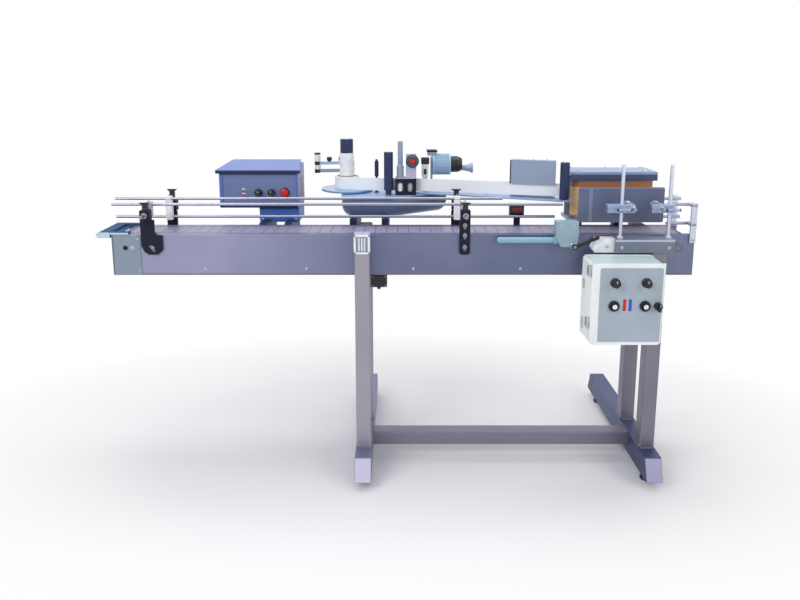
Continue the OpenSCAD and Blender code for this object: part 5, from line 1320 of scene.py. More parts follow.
# %% Support arms
HEAD_ARM_BACK, CONSOLE_ARM_BACK, BELT_ARM_BACK = span("support_arms")[1].y, CON_HIGH.y - 14, 205
ARMS = [(-475, CONSOLE_ARM_BACK, 855), (-385, CONSOLE_ARM_BACK, 855), (-152, HEAD_ARM_BACK, 871),
        (-38, HEAD_ARM_BACK, 871), (650, BELT_ARM_BACK, 868), (790, BELT_ARM_BACK, 868)]
ARM_LOW, ARM_HALF = 800, 12.5

arms = Piece("support_arms_welded")
for x, back, top in ARMS:
    arms.block((x - ARM_HALF, PLATE_BACK, ARM_LOW), (x + ARM_HALF, back, top), navy_enamel, 2.5, steps=3)
    arms.block((x - 22, PLATE_BACK, ARM_LOW + 6), (x + 22, PLATE_BACK + 5, ARM_LOW + 46), navy_enamel, 1)
    arms.screws((x - 17, x + 17), PLATE_BACK + 5, ARM_LOW + 26, TO_BACK, 3.4)
arms.done("frame", "navy_enamel", "support_arms")

# %% [markdown]
# The labelling head stands behind the chain on two arms: a navy casting whose lower edge is
# rounded like a bowl, closed by a steel deck. The casing is lofted through a dozen outlines, which
# grow from the bottom up and leave a groove under the rim, so nothing has to be sculpted.

# %% Head housing and deck
HOUSE_LOW, DECK_TOP = 871, 944
HEAD_FRONT, HEAD_BACK, HEAD_RIGHT, HEAD_BEND = 185, 480, 190, 34
HEAD_PLAN = arc(-161, HEAD_FRONT + HEAD_BEND, HEAD_BEND, 180, 270, 8)
HEAD_PLAN += [(-10, HEAD_FRONT), (HEAD_RIGHT, 330), (HEAD_RIGHT, HEAD_BACK), (-220, HEAD_BACK)]
HEAD_MIDDLE_X, HEAD_MIDDLE_Y = -20, 345
GRILLE_LEFT, GRILLE_RIGHT, GRILLE_Z = -190, 150, 923
BOWL = [(0.84, 0), (0.88, 2.5), (0.92, 7.5), (0.955, 15), (0.982, 25), (0.996, 36), (1.0, 46), (1.0, 58),
        (0.992, 59.5), (0.992, 61.5), (1.0, 63), (1.0, 67)]
DECK = [(0.996, -6), (1.0, -5), (1.0, -1), (0.994, 0)]
DECK_SCREWS = [(-208, 468), (-168, 206), (-40, 196), (60, 246), (150, 312), (178, 400), (178, 468),
               (-60, 468), (60, 468)]
DANCER_X, DANCER_Y = -178, 455
DRIVE_ROLL_X, DRIVE_ROLL_Y, PINCH_Y = -27, 250, 282.1
PIN_LONG = 134


def head_layers(layers, base):
    """Plans of the head at heights over a base, each drawn in to a share round the head's middle."""
    return [([(HEAD_MIDDLE_X + share * (x - HEAD_MIDDLE_X), HEAD_MIDDLE_Y + share * (y - HEAD_MIDDLE_Y))
              for x, y in HEAD_PLAN], base + rise) for share, rise in layers]


housing = Piece("head_housing_cast")
housing.loft(head_layers(BOWL, HOUSE_LOW), "xy", housing_navy, 0.6)
housing.block((GRILLE_LEFT, HEAD_BACK - 6, GRILLE_Z - 9), (GRILLE_RIGHT, HEAD_BACK + 0.8, GRILLE_Z + 9),
              black_coat, 0.6)
housing.screws((GRILLE_LEFT + 10, GRILLE_RIGHT - 10), HEAD_BACK + 0.6, GRILLE_Z, TO_BACK, 2.8)
for slot in range(9):
    left = GRILLE_LEFT + 80 + 22 * slot
    housing.block((left, HEAD_BACK, GRILLE_Z - 5), (left + 8, HEAD_BACK + 1.3, GRILLE_Z + 5), cut_steel, 0.5)
housing.done("frame", "navy_enamel", "head_housing")

deck = Piece("head_deck_plate")
deck.loft(head_layers(DECK, DECK_TOP), "xy", deck_steel)
for x, y in DECK_SCREWS:
    deck.screws(x, y, DECK_TOP, UP, 3)
for x, y, radius, shoulder in ((DANCER_X, DANCER_Y, 6, 55.6), (DRIVE_ROLL_X, PINCH_Y, 4, 11.6)):
    wide = radius + 3
    pin = [(0, -1), (wide + 5, -1), (wide + 5, 3), (wide, 4.5), (wide, shoulder - 0.6),
           (wide - 0.6, shoulder), (radius, shoulder), (radius, PIN_LONG - 1), (radius - 1, PIN_LONG),
           (0, PIN_LONG)]
    deck.turned((x, y, DECK_TOP), UP, pin, post_steel, 32)
for x, y, bore, radius in ((REEL_X, REEL_Y, 10.2, 22), (DRIVE_ROLL_X, DRIVE_ROLL_Y, 8.2, 14)):
    bush = [(bore, -4), (radius, -4), (radius, -0.4), (radius - 1, 0.15), (bore, 0.15)]
    deck.turned((x, y, DECK_TOP), UP, bush, zinc)
deck.done("frame", "grey_steel", "head_deck")

# %% [markdown]
# The label roll sits on a clear platter. A white drum above it centres the roll on its spindle,
# and a dark blue hand knob clamps both. Winding never ends quite flush, so the roll's top is turned
# with small steps, and the labels on its outer layer are thin curved patches with a gap between.

# %% Reel
WEB_LOW, WEB_HIGH = 956, 1002
KNOB_LOW, KNOB_HIGH = 1088.2, 1139.6
PLATTER = [(9.9, 948), (95.6, 948), (97, 949.5), (97, 954.2), (95.6, 955.8), (9.9, 955.8)]
REEL_SHAFT = [(0, 876), (9.2, 876), (10, 877), (10, 1090), (0, 1090)]
REEL_WASHER = [(9.8, 944.4), (15.5, 944.4), (16, 945), (16, 947.6), (9.8, 947.6)]
DRUM = [(9.9, WEB_HIGH + 0.4), (26, WEB_HIGH + 0.4), (27, 1003.6), (27, 1040), (26.4, 1041), (26.4, 1044),
        (27, 1045), (27, 1086.6), (26, 1088), (9.9, 1088)]
KNOB_CAP = [(0, -1), (9, -1), (9, 0.1), (7.6, 0.4), (0, 0.4)]
PLATTER_SCREWS, PLATTER_SCREW_Z = 26, 953.5


def lobed(x, y, radius, lobes, dip, steps=8):
    """Outline of a hand knob: a circle with shallow finger dips."""
    points = []
    for i in range(lobes * steps):
        angle = 2 * math.pi * i / (lobes * steps)
        reach = radius - dip * (0.5 - 0.5 * math.cos(lobes * angle)) ** 2
        points.append((x + reach * math.cos(angle), y + reach * math.sin(angle)))
    return points


def on_reel(piece, outline, finish, sides):
    """Lathe work round the reel's axis, with heights from the floor."""
    piece.turned((REEL_X, REEL_Y, 0), UP, outline, finish, sides)


reel = Piece("reel_platter")
on_reel(reel, PLATTER, platter_acrylic, 96)
on_reel(reel, REEL_SHAFT, post_steel, 40)
on_reel(reel, REEL_WASHER, zinc, 48)
for x, y in arc(REEL_X, REEL_Y, PLATTER_SCREWS, 90, 330, 2):
    reel.screws(x, y, PLATTER_SCREW_Z, UP, 2)
on_reel(reel, DRUM, roller_white, 64)
reel.plate(lobed(REEL_X, REEL_Y, 24, 6, 2.6), "xy", KNOB_LOW, KNOB_HIGH, rubber_navy, 3.0, steps=4)
reel.turned((REEL_X, REEL_Y, KNOB_HIGH - 0.1), UP, KNOB_CAP, zinc, 32)
reel.done("reel", "acrylic", "reel")

# %% Label roll
ROLL_R, CORE_R = 46, 38
CORE = [(13.2, WEB_LOW), (CORE_R, WEB_LOW), (CORE_R, WEB_HIGH - 1), (CORE_R - 1, WEB_HIGH), (34.6, WEB_HIGH),
        (34.2, WEB_HIGH - 2), (13.2, WEB_HIGH - 2)]

winding = [(CORE_R + 0.2, WEB_LOW + 0.2), (ROLL_R - 0.5, WEB_LOW + 0.2), (ROLL_R - 0.5, WEB_HIGH - 0.4)]
for step in range(6):
    radius = ROLL_R - 1.2 - step * 1.1
    height = WEB_HIGH - 0.35 - 0.3 * math.sin(step * 2.4)
    winding += [(radius + 0.2, height), (radius - 0.7, height)]
winding += [(CORE_R + 0.2, WEB_HIGH - 0.4)]

roll = Piece("label_roll_wound")
on_reel(roll, winding, wound_stock, 96)
roll.ring((REEL_X, REEL_Y, 0), UP, ROLL_R - 1.1, ROLL_R - 0.2, WEB_LOW + 0.3, WEB_HIGH - 0.2, label_stock, 96)
for start in range(20, 380, 90):
    end = start + 84
    patch = arc(REEL_X, REEL_Y, ROLL_R, start, end, 14) + arc(REEL_X, REEL_Y, ROLL_R - 0.6, end, start, 14)
    roll.plate(patch, "xy", WEB_LOW + 3, WEB_HIGH - 3, label_stock, 0.12)
on_reel(roll, CORE, core_board, 64)
roll.done("reel", "label_stock", "label_roll")

# %% [markdown]
# A dancer arm keeps the web tight, and the web runs through a driven rubber roller and its pinch
# roller, then over two small rollers in a fork, whose pressure a hand knob sets. Rollers are lathe
# work: a sleeve, end rings and a bore or a pin.

# %% Dancer arm
HUB_LOW, HUB_HIGH, DANCER_REACH, DANCER_TURN = 1000, 1046, 130, 187
DANCER_HUB = [(6.1, HUB_LOW), (13.4, HUB_LOW), (14, HUB_LOW + 0.8), (14, HUB_HIGH - 0.8), (13.2, HUB_HIGH),
              (6.1, HUB_HIGH)]
DANCER_ROLLER = [(0, 1000), (11, 1000), (12, 1001), (12, 1005), (11.4, 1006), (11.4, 1072), (12, 1073),
                 (12, 1077), (11, 1078), (0, 1078)]
DANCER_SLEEVES, DANCER_NUTS = ((1014.5, 1031), (1045, 1071.5)), (38, 84)
DANCER_NUT = [(0, -1), (6, -1), (6, 2), (9.4, 4), (10, 6), (10, 14), (8, 17), (0, 17.6)]


def on_arm(reach):
    """Plan place on the dancer arm at a reach from its pin."""
    angle = math.radians(DANCER_TURN)
    return DANCER_X + reach * math.cos(angle), DANCER_Y + reach * math.sin(angle)


dancer = Piece("dancer_arm_roller")
bar = arc(DANCER_X + 15, DANCER_Y, 8, 90, 270, 10) + arc(DANCER_X + DANCER_REACH, DANCER_Y, 8, 270, 450, 10)
for low, finish in ((HUB_LOW + 2, steel_blue), (HUB_HIGH - 14, dancer_blue)):
    dancer.plate(bar, "xy", low, low + 12, finish, 1.6, (DANCER_TURN, "Z", (DANCER_X, DANCER_Y, 0)), 3)
dancer.turned((DANCER_X, DANCER_Y, 0), UP, DANCER_HUB, dancer_blue)
dancer.turned((*on_arm(DANCER_REACH), 0), UP, DANCER_ROLLER, black_moulded)
for low, high in DANCER_SLEEVES:
    dancer.ring((*on_arm(DANCER_REACH), 0), UP, 11, 11.9, low, high, roller_white)
for reach in DANCER_NUTS:
    dancer.turned((*on_arm(reach), HUB_HIGH - 2), UP, DANCER_NUT, black_moulded, 32)
dancer.done("dancer_arm", "motor_grey", "dancer_arm")

# %% Web rollers
FORK_LOW, FORK_HIGH, FORK_ROLL_X, FORK_ROLL_Y = 950, 1003, (16, 52), 253.5
PEEL_X, PEEL_Y, PEEL_LOW, PEEL_HIGH = 583, 110, 951, 1078
PINCH_HIGH, DRIVE_SCREW_Z = 1072, 1097
DRIVE_ROLL = [(0, 876), (7.4, 876), (8, 877), (8, 944.4), (11, 944.4), (11, 960.4), (15.6, 961), (16.5, 962),
              (16.5, 1009), (16.1, 1010), (16.1, 1012), (16.5, 1013), (16.5, 1098.4), (15.6, 1099.6),
              (8, 1099.6), (7, 1098.4), (0, 1098.4)]

drive_roll = Piece("drive_roller_rubber")
drive_roll.turned((DRIVE_ROLL_X, DRIVE_ROLL_Y, 0), UP, DRIVE_ROLL, rubber_navy)
drive_roll.screws(DRIVE_ROLL_X, DRIVE_ROLL_Y, DRIVE_SCREW_Z, UP, 3)
drive_roll.done("drive_roller", "rubber_roller", "drive_roller")


def plain_roller(name, x, y, low, high, radius, pin, finish, body, slot):
    roller = Piece(name)
    bore = pin + 0.1
    outline = [(bore, low), (radius - 1, low), (radius, low + 1), (radius, low + 4),
               (radius - 0.5, low + 4.6), (radius - 0.5, high - 4.6), (radius, high - 4), (radius, high - 1),
               (radius - 1, high), (bore + 3, high), (bore + 2.4, high - 1.2), (bore, high - 1.2)]
    roller.turned((x, y, 0), UP, outline, finish)
    roller.ring((x, y, 0), UP, radius - 1, radius - 0.05, low + 5, high - 5, finish)
    roller.done(body, slot, body)


plain_roller("pinch_roller_sleeved", DRIVE_ROLL_X, PINCH_Y, WEB_LOW, PINCH_HIGH, 14, 4, zinc,
             "pinch_roller", "grey_steel")
for hand, x, finish in zip(HANDS, FORK_ROLL_X, (roller_white, sage_moulded)):
    plain_roller(f"fork_roller_{hand}_turned", x, FORK_ROLL_Y, FORK_LOW + 0.3, FORK_HIGH - 0.3, 13, 3,
                 finish, f"fork_roller_{hand}", "roller_white")
plain_roller("peel_roller_turned", PEEL_X, PEEL_Y, PEEL_LOW, PEEL_HIGH, 16, 5, rubber_navy,
             "peel_roller", "rubber_roller")

# %% Nip fork
FORK_LEFT, FORK_RIGHT, FORK_FRONT, FORK_BACK = -2, 74, 236.5, 262.9
DIAL_POST_X, DIAL_POST_Z, DIAL_PLATE_LEFT, DIAL_PLATE_TOP = 60, 1069, 36, 1095
FORK_WALLS, FORK_WALL = (FORK_LEFT, 34, 70), 4
SPRING_POST = [(0, 0), (13, 0), (13, 40), (11.6, 42), (9.4, 44), (9.4, 128), (8, 131), (3, 131.8), (0, 131.8)]
LOCK_NUT = [(4.2, -1), (11, -1), (11, 3), (9.6, 4.2), (4.2, 4.2)]

fork = Piece("nip_fork_block")
for low in (DECK_TOP, FORK_HIGH):
    fork.block((FORK_LEFT, FORK_FRONT, low), (FORK_RIGHT, FORK_BACK, low + 6), black_coat, 1.2)
fork.block((FORK_LEFT + 1, FORK_FRONT - 0.4, FORK_HIGH + 1),
           (FORK_RIGHT - 1, FORK_FRONT + 3, FORK_HIGH + 5.6), light_coat, 0.8)
for left in FORK_WALLS:
    fork.block((left, FORK_FRONT, FORK_LOW - 0.5), (left + FORK_WALL, FORK_BACK, FORK_HIGH + 0.5),
               black_coat, 0.8)
for x in FORK_ROLL_X:
    bezel = rounded(x - 18, FORK_LOW, x + 18, FORK_HIGH, 2)
    window = rounded(x - 12.5, FORK_LOW + 7, x + 12.5, FORK_HIGH - 14, 10)
    fork.collar(bezel, window, "xz", FORK_FRONT - 0.5, FORK_FRONT + 2.6, black_coat, 0.5)
    fork.rod((x, FORK_ROLL_Y, FORK_LOW - 1), (x, FORK_ROLL_Y, FORK_HIGH + 1), 2.9, bright_steel, 0.3, 20)
    fork.screws(x + 9, FORK_ROLL_Y - 8, FORK_HIGH + 6, UP, 2.4)
fork.turned((FORK_ROLL_X[0], FORK_ROLL_Y, FORK_HIGH + 5), UP, SPRING_POST, steel_blue)
fork.block((DIAL_PLATE_LEFT, FORK_FRONT, FORK_HIGH + 5), (FORK_RIGHT, FORK_FRONT + 4, DIAL_PLATE_TOP),
           light_coat, 1.4)
fork.turned((DIAL_POST_X, FORK_FRONT + 4, DIAL_POST_Z), TO_BACK, LOCK_NUT, zinc, 6)
fork.done("frame", "black_metal", "nip_fork")

# %% Pressure knob
PRESSURE_GRIP = [(0, 0), (19, 0), (22.4, 1.4), (23.4, 4), (23.4, 12), (22, 16), (18.5, 18.6), (14.6, 19.6),
                 (12, 18.6), (0, 18.6)]
PRESSURE_RING = [(13.4, 17), (19.8, 17), (19.2, 18.9), (15, 20), (13.4, 19.4)]
PRESSURE_CAP = [(0, 17.5), (10, 17.5), (10, 19), (8.6, 19.8), (0, 20)]

pressure = Piece("pressure_hand_knob")
face = FORK_FRONT - 0.3
centre = (DIAL_POST_X, face, DIAL_POST_Z)
pressure.turned(centre, TO_FRONT, PRESSURE_GRIP, black_gloss)
pressure.turned(centre, TO_FRONT, PRESSURE_RING, teal_moulded)
pressure.turned(centre, TO_FRONT, PRESSURE_CAP, red_moulded)
pressure.ribs(20, "Y", centre, (DIAL_POST_X - 1.3, face - 13, DIAL_POST_Z + 22.4),
              (DIAL_POST_X + 1.3, face - 3, DIAL_POST_Z + 23.6), black_gloss, 0.5)
spindle(pressure, DIAL_POST_X, face + 1, face + 9, DIAL_POST_Z)
pressure.done("pressure_knob", "black_plastic", "pressure_knob")

# %% [markdown]
# The head's motor lies on its side on a bracket: a pale finned barrel with a terminal cap, a
# black end bell and a grey flared cone.

# %% Head motor
AXIS_X, AXIS_Y, AXIS_Z = 137, 345, 1045
BELL_X, CONE_X = AXIS_X + 67, AXIS_X + 111
HEAD_BARREL = [(0, 0), (39, 0), (40, 1), (40, 7), (36.5, 9), (36.5, 60), (39, 61), (40, 62), (40, 66.5),
               (39, 67.5), (0, 67.5)]
BELL = [(0, 0), (30, 0), (30, 24), (27, 36), (21, 44), (0, 44)]
CONE = [(0, -2), (10, -2), (10, 4), (11, 12), (14, 26), (19, 37), (20, 40.5), (19, 41), (17, 39), (12, 26),
        (0, 24)]
CAP_SCREW = [(0, 0), (2.4, 0), (2.4, 0.9), (1.8, 1.2), (0, 1.2)]

motor = Piece("head_motor_finned")
motor.block((AXIS_X - 7, AXIS_Y - 27, DECK_TOP), (AXIS_X, AXIS_Y + 27, AXIS_Z + 27), steel_blue, 1.2)
motor.block((AXIS_X - 7, AXIS_Y - 27, DECK_TOP), (AXIS_X + 30, AXIS_Y + 27, DECK_TOP + 5), steel_blue, 1)
motor.screws(AXIS_X + 18, (AXIS_Y - 18, AXIS_Y + 18), DECK_TOP + 5, UP, 3)
motor.turned((AXIS_X, AXIS_Y, AXIS_Z), TO_RIGHT, HEAD_BARREL, motor_grey, 64)
motor.ribs(36, "X", (AXIS_X, AXIS_Y, AXIS_Z), (AXIS_X + 8, AXIS_Y - 1, AXIS_Z + 35),
           (AXIS_X + 61, AXIS_Y + 1, AXIS_Z + 39.6), motor_grey)
motor.turned((BELL_X, AXIS_Y, AXIS_Z), TO_RIGHT, BELL, black_moulded)
for start in (8, 16, 24):
    motor.ring((BELL_X, AXIS_Y, AXIS_Z), TO_RIGHT, 29, 30.6, start, start + 3, black_gloss)
motor.turned((CONE_X, AXIS_Y, AXIS_Z - 14), TO_RIGHT, CONE, steel_blue)
motor.brick((AXIS_X - 2, AXIS_Y, AXIS_Z + 41), (36, 40, 14), steel_blue, 3, steps=3)
motor.brick((AXIS_X - 2, AXIS_Y, AXIS_Z + 50.5), (40, 44, 7), black_coat, 2.5, steps=3)
for x, y in product((AXIS_X - 15, AXIS_X + 11), (AXIS_Y - 15, AXIS_Y + 15)):
    motor.turned((x, y, AXIS_Z + 53.4), UP, CAP_SCREW, zinc, 16)
motor.done("frame", "motor_grey", "head_motor")

# %% [markdown]
# The web leaves the fork and crosses to the peel roller at the chain's edge, guided in a slot
# between two plates on a long arm. Its turn is sharp enough for a stiff label to come off the
# backing strip. Labels show on it as thin patches with a gap between each two. Behind the fork
# stands a small sensor, black over white, which looks across the web for those gaps, and nearer
# the reel a slim dark roller.

# %% Peel arm
TURN_X, TURN_Y, END_X, END_Y = 66, 267.3, 587.9, 126.1
RUN_ANGLE = math.degrees(math.atan2(END_Y - TURN_Y, END_X - TURN_X))
RUN_LENGTH = math.hypot(END_X - TURN_X, END_Y - TURN_Y)
GUIDE_START, GUIDE_END = 0.65 * RUN_LENGTH, 0.94 * RUN_LENGTH
GUIDE_LOW, GUIDE_FRONT_LOW, GUIDE_TOP = 948, 998, 1082
PEEL_ARM_PLAN = [(40, 285), (40, 313), (120, 313), (605, 154), (605, 88), (561, 88)]
PEEL_ARM_TOP = DECK_TOP + 5
PEEL_ARM_SCREWS = [(60, 299), (100, 299), (200, 270), (330, 226)]
PEEL_PIN = [(0, 0), (12, 0), (12, 1.2), (9, 2.6), (5, 2.6), (5, 132), (4, 133.8), (0, 134)]
PEEL_COLLAR = [(5.1, 0), (9, 0), (9, 2.6), (8, 3.4), (5.1, 3.4)]


def along_run(piece, start, end, near, far, low, high, finish, soften):
    """Upright plate beside the web: start and end along its run, near and far across it."""
    piece.block((TURN_X + start, TURN_Y + near, low), (TURN_X + end, TURN_Y + far, high), finish, soften,
                (RUN_ANGLE, "Z", (TURN_X, TURN_Y, 0)))


peel = Piece("peel_arm_guides")
peel.plate(PEEL_ARM_PLAN, "xy", DECK_TOP, PEEL_ARM_TOP, deck_steel, 1.2)
for near, far, low, high in ((8, 12, GUIDE_LOW, GUIDE_TOP - 3), (-12, -8, GUIDE_FRONT_LOW, GUIDE_TOP - 3),
                             (-12, 12, GUIDE_TOP - 4, GUIDE_TOP)):
    along_run(peel, GUIDE_START, GUIDE_END, near, far, low, high, steel_blue, 1)
along_run(peel, GUIDE_START - 0.5, GUIDE_START + 4, -12.5, -7, GUIDE_FRONT_LOW, GUIDE_TOP - 1,
          navy_enamel, 0.8)
for share in (0.2, 0.5, 0.8):
    travel = (GUIDE_START + share * (GUIDE_END - GUIDE_START)) / RUN_LENGTH
    peel.screws(TURN_X + travel * (END_X - TURN_X), TURN_Y + travel * (END_Y - TURN_Y), GUIDE_TOP, UP, 3)
for x, y in PEEL_ARM_SCREWS:
    peel.screws(x, y, PEEL_ARM_TOP, UP, 3)
peel.turned((PEEL_X, PEEL_Y, PEEL_ARM_TOP - 1), UP, PEEL_PIN, post_steel, 32)
peel.turned((PEEL_X, PEEL_Y, PEEL_HIGH + 0.4), UP, PEEL_COLLAR, zinc)
peel.done("frame", "steel_blue", "peel_arm")

# %% Label sensor and web guide
SENSOR_X, SENSOR_Y, GUIDE_X, GUIDE_Y = 108, 292, -72, 302
GUIDE_ROLLER = [(0, -1), (9, -1), (9, 3), (4, 4.5), (4, 60), (7, 60.5), (7.5, 61.5), (7.5, 117), (7, 118),
                (4, 118.4), (4, 124), (0, 124)]

sensor = Piece("label_gap_sensor")
sensor.brick((SENSOR_X, SENSOR_Y, 979), (18, 12, 62), zinc, 1)
sensor.brick((SENSOR_X, SENSOR_Y, 1028), (26, 20, 48), white_moulded, 3, steps=3)
sensor.brick((SENSOR_X, SENSOR_Y, 1064), (30, 24, 24), black_moulded, 3, steps=3)
sensor.brick((SENSOR_X, SENSOR_Y - 10.8, 1024), (10, 3.6, 20), black_gloss, 1)
sensor.done("frame", "button_white")

guide = Piece("web_guide_roller")
guide.turned((GUIDE_X, GUIDE_Y, DECK_TOP), UP, GUIDE_ROLLER, rubber_navy, 32)
guide.done("frame", "rubber_roller")

# %% Label web
LABEL_LONG, LABEL_PITCH, LABEL_START = 66, 72, 8
WEB_PATH = [(-192.4, 293.8), (DRIVE_ROLL_X, TURN_Y), (TURN_X, TURN_Y), (END_X, END_Y)]

web = Piece("label_web_strip")
for (x, y), end in zip(WEB_PATH, WEB_PATH[1:]):
    length = math.dist((x, y), end)
    turn = (math.degrees(math.atan2(end[1] - y, end[0] - x)), "Z", (x, y, 0))
    web.block((x, y - 0.35, WEB_LOW), (x + length, y + 0.35, WEB_HIGH), label_stock, 0.1, turn)
    for label in range(int(length // LABEL_PITCH)):
        left = x + LABEL_START + label * LABEL_PITCH
        web.block((left, y - 0.6, WEB_LOW + 3), (left + LABEL_LONG, y - 0.2, WEB_HIGH - 3),
                  label_stock, 0.12, turn)
web.done("frame", "label_stock", "label_web")

# %% [markdown]
# At the wrap station labels are rolled on between a foam pad and a driven belt. The pad hangs on
# two rods that slide in cross clamps on upright posts, and the posts stand on a folded shelf.
# Each cross clamp is a sawn block with a slit, which a T handle closes.

# %% Pad shelf and clamps
SHELF_LEFT, SHELF_RIGHT, SHELF_FRONT, SHELF_LOW, SHELF_TOP = 717, 915, -60, 800, 845
SIDE_LEFT = 645
SHELF_SIDE = [(SIDE_LEFT + 14, SHELF_TOP), (SHELF_LEFT + 1, SHELF_TOP), (SHELF_LEFT + 1, SHELF_LOW),
              (SIDE_LEFT + 8, SHELF_LOW), (SIDE_LEFT, SHELF_LOW + 12), (SIDE_LEFT + 4, SHELF_LOW + 22)]
POST_X, POST_Y, POST_LONG = (740, 898), -30, 245
POST_SIDE = [(0, -1), (11, -1), (11, 5), (9.6, 6.4), (6, 6.4), (6, POST_LONG - 1.5), (4.6, POST_LONG),
             (0, POST_LONG)]
PAD_ROD_X, PAD_ROD_Z = (772, 866), 944
CLAMP_TAILS, CLAMP_HALF = (40, 21), 14
CLAMP_BUSH = [(6.2, -1), (9, -1), (9, 1), (8, 1.6), (6.2, 1.6)]

shelf = Piece("pad_shelf_folded")
shelf.block((SHELF_LEFT, SHELF_FRONT, SHELF_LOW), (SHELF_RIGHT, -0.2, SHELF_TOP), shelf_grey, 2.2, steps=3)
# A light band along the top of the shelf's front face: a painted highlight on its upper edge.
shelf.block((SHELF_LEFT + 0.5, SHELF_FRONT - 0.6, SHELF_TOP - 7),
            (SHELF_RIGHT - 0.5, SHELF_FRONT + 4, SHELF_TOP - 0.6), light_coat, 0.8)
shelf.block((SHELF_RIGHT - 5, SHELF_FRONT - 0.8, SHELF_LOW + 1),
            (SHELF_RIGHT + 0.4, SHELF_FRONT + 8, SHELF_TOP - 1), cut_steel, 0.8)
shelf.plate(SHELF_SIDE, "xz", SHELF_FRONT + 10, SHELF_FRONT + 50, white_moulded, 2, steps=3)
shelf.screws((SHELF_LEFT + 22, SHELF_RIGHT - 22), SHELF_FRONT, SHELF_LOW + 18, TO_FRONT, 3.6)
shelf.screws(SIDE_LEFT + 48, SHELF_FRONT + 10, SHELF_LOW + 20, TO_FRONT, 3.4)
near, far = POST_Y - CLAMP_HALF, POST_Y + CLAMP_HALF
for x, rod, tail in zip(POST_X, PAD_ROD_X, CLAMP_TAILS):
    shelf.turned((x, POST_Y, SHELF_TOP), UP, POST_SIDE, post_steel, 32)
    left, right = min(x, rod) - 10 - tail, max(x, rod) + 10
    shelf.block((left, near, PAD_ROD_Z - CLAMP_HALF), (right, far, PAD_ROD_Z + CLAMP_HALF),
                clamp_steel, 2.2, steps=3)
    for start, end in ((left - 0.5, left + 7.5), (right - 6.5, right - 0.5)):
        shelf.block((start, near - 0.3, PAD_ROD_Z - 1.2), (end, far + 0.3, PAD_ROD_Z + 1.2), cut_steel, 0.2)
    shelf.screws(rod, POST_Y, PAD_ROD_Z + CLAMP_HALF, UP, 3.2)
    shelf.turned((rod, near, PAD_ROD_Z), TO_FRONT, CLAMP_BUSH, zinc)
shelf.done("frame", "grey_steel", "pad_shelf")

# %% T handles
TEE_TIP = [(0, -2), (4.6, -2), (5, -1.4), (5, 1.4), (4.6, 2), (0, 2)]
TEE_STEM = [(0, -5), (6, -5), (6.6, -4), (6.6, 5), (5, 7), (4, 8), (4, 25.6), (0, 25.6)]


def tee_handle(x, body):
    handle = Piece(f"{body}_tee")
    face = POST_Y - 34
    handle.rod((x - 23, face, PAD_ROD_Z), (x + 23, face, PAD_ROD_Z), 4.6, clamp_steel, 1.4)
    for tip in (x - 21, x + 21):
        handle.turned((tip, face, PAD_ROD_Z), TO_RIGHT, TEE_TIP, black_moulded, 24)
    handle.turned((x, face, PAD_ROD_Z), TO_BACK, TEE_STEM, clamp_steel, 32)
    handle.done(body, "bright_steel", body)


for hand, x in zip(HANDS, POST_X):
    tee_handle(x, f"pad_handle_{hand}")

# %% [markdown]
# The pad itself is a grey-violet plate with a layer of foam glued to its back. Foam is softer at
# its free edges, so the layer is lofted to a crowned face that falls away to rounded rims.
# Simulating cloth would add nothing, because the foam has no cover.

# %% Pressure pad
PAD_LEFT, PAD_RIGHT, PAD_LOW, PAD_HIGH = 613, 899, 886, 1005
PAD_FACE, FOAM_FACE = 24, 28
PAD_ROD = [(0, 0), (17, 0), (17, 4), (15.6, 5), (10, 5.6), (10, 14), (8.8, 15), (6, 15), (6, 94), (4.8, 94.5),
           (0, 94.5)]
CROWN = [(0.9, 0.2), (0.2, 1.6), (0.0, 3.4), (0.3, 6), (1.0, 7.6), (2.4, 9), (5, 10), (10, 10.8), (20, 11.4),
         (34, 11.8), (52, 12.0)]


def pad_inset(margin, radius):
    """Outline of the pad, drawn in by a margin."""
    return rounded(PAD_LEFT + margin, PAD_LOW + margin, PAD_RIGHT - margin, PAD_HIGH - margin, radius)


backing = Piece("pressure_pad_plate")
backing.plate(pad_inset(0, 6), "xz", PAD_FACE, FOAM_FACE, pad_plate, 0.9)
backing.plate(rounded(PAD_LEFT + 34, PAD_LOW + 3, PAD_LEFT + 46, PAD_HIGH - 3, 2), "xz",
              PAD_FACE - 1, PAD_FACE + 1, pad_strip, 0.4)
backing.block((PAD_LEFT + 2, PAD_FACE - 0.8, PAD_HIGH - 5), (PAD_RIGHT - 2, PAD_FACE + 2, PAD_HIGH - 1),
              pad_strip, 0.6)
for rod in PAD_ROD_X:
    backing.turned((rod, PAD_FACE + 0.5, PAD_ROD_Z), TO_FRONT, PAD_ROD, bright_steel, 40)
    for x, z in arc(rod, PAD_ROD_Z, 13.4, 45, 315, 3):
        backing.screws(x, PAD_FACE - 4, z, TO_FRONT, 1.7)
backing.screws((PAD_LEFT + 14, PAD_RIGHT - 14), PAD_FACE, (PAD_LOW + 14, PAD_HIGH - 14), TO_FRONT, 2.4,
               cut_steel)
backing.done("pressure_pad", "pad_grey", "pressure_pad")

foam = Piece("pressure_pad_foam")
foam.loft([(pad_inset(0.6 + margin, max(5 - margin / 14, 1.5)), FOAM_FACE + rise - 0.2)
           for margin, rise in CROWN], "xz", pad_foam)
foam.done("pressure_pad", "pad_grey")

# %% [markdown]
# A cast clamp on the front plate carries a round bar, and a black lever locks it. The casting is
# chamfered towards its foot and painted a light steel blue.

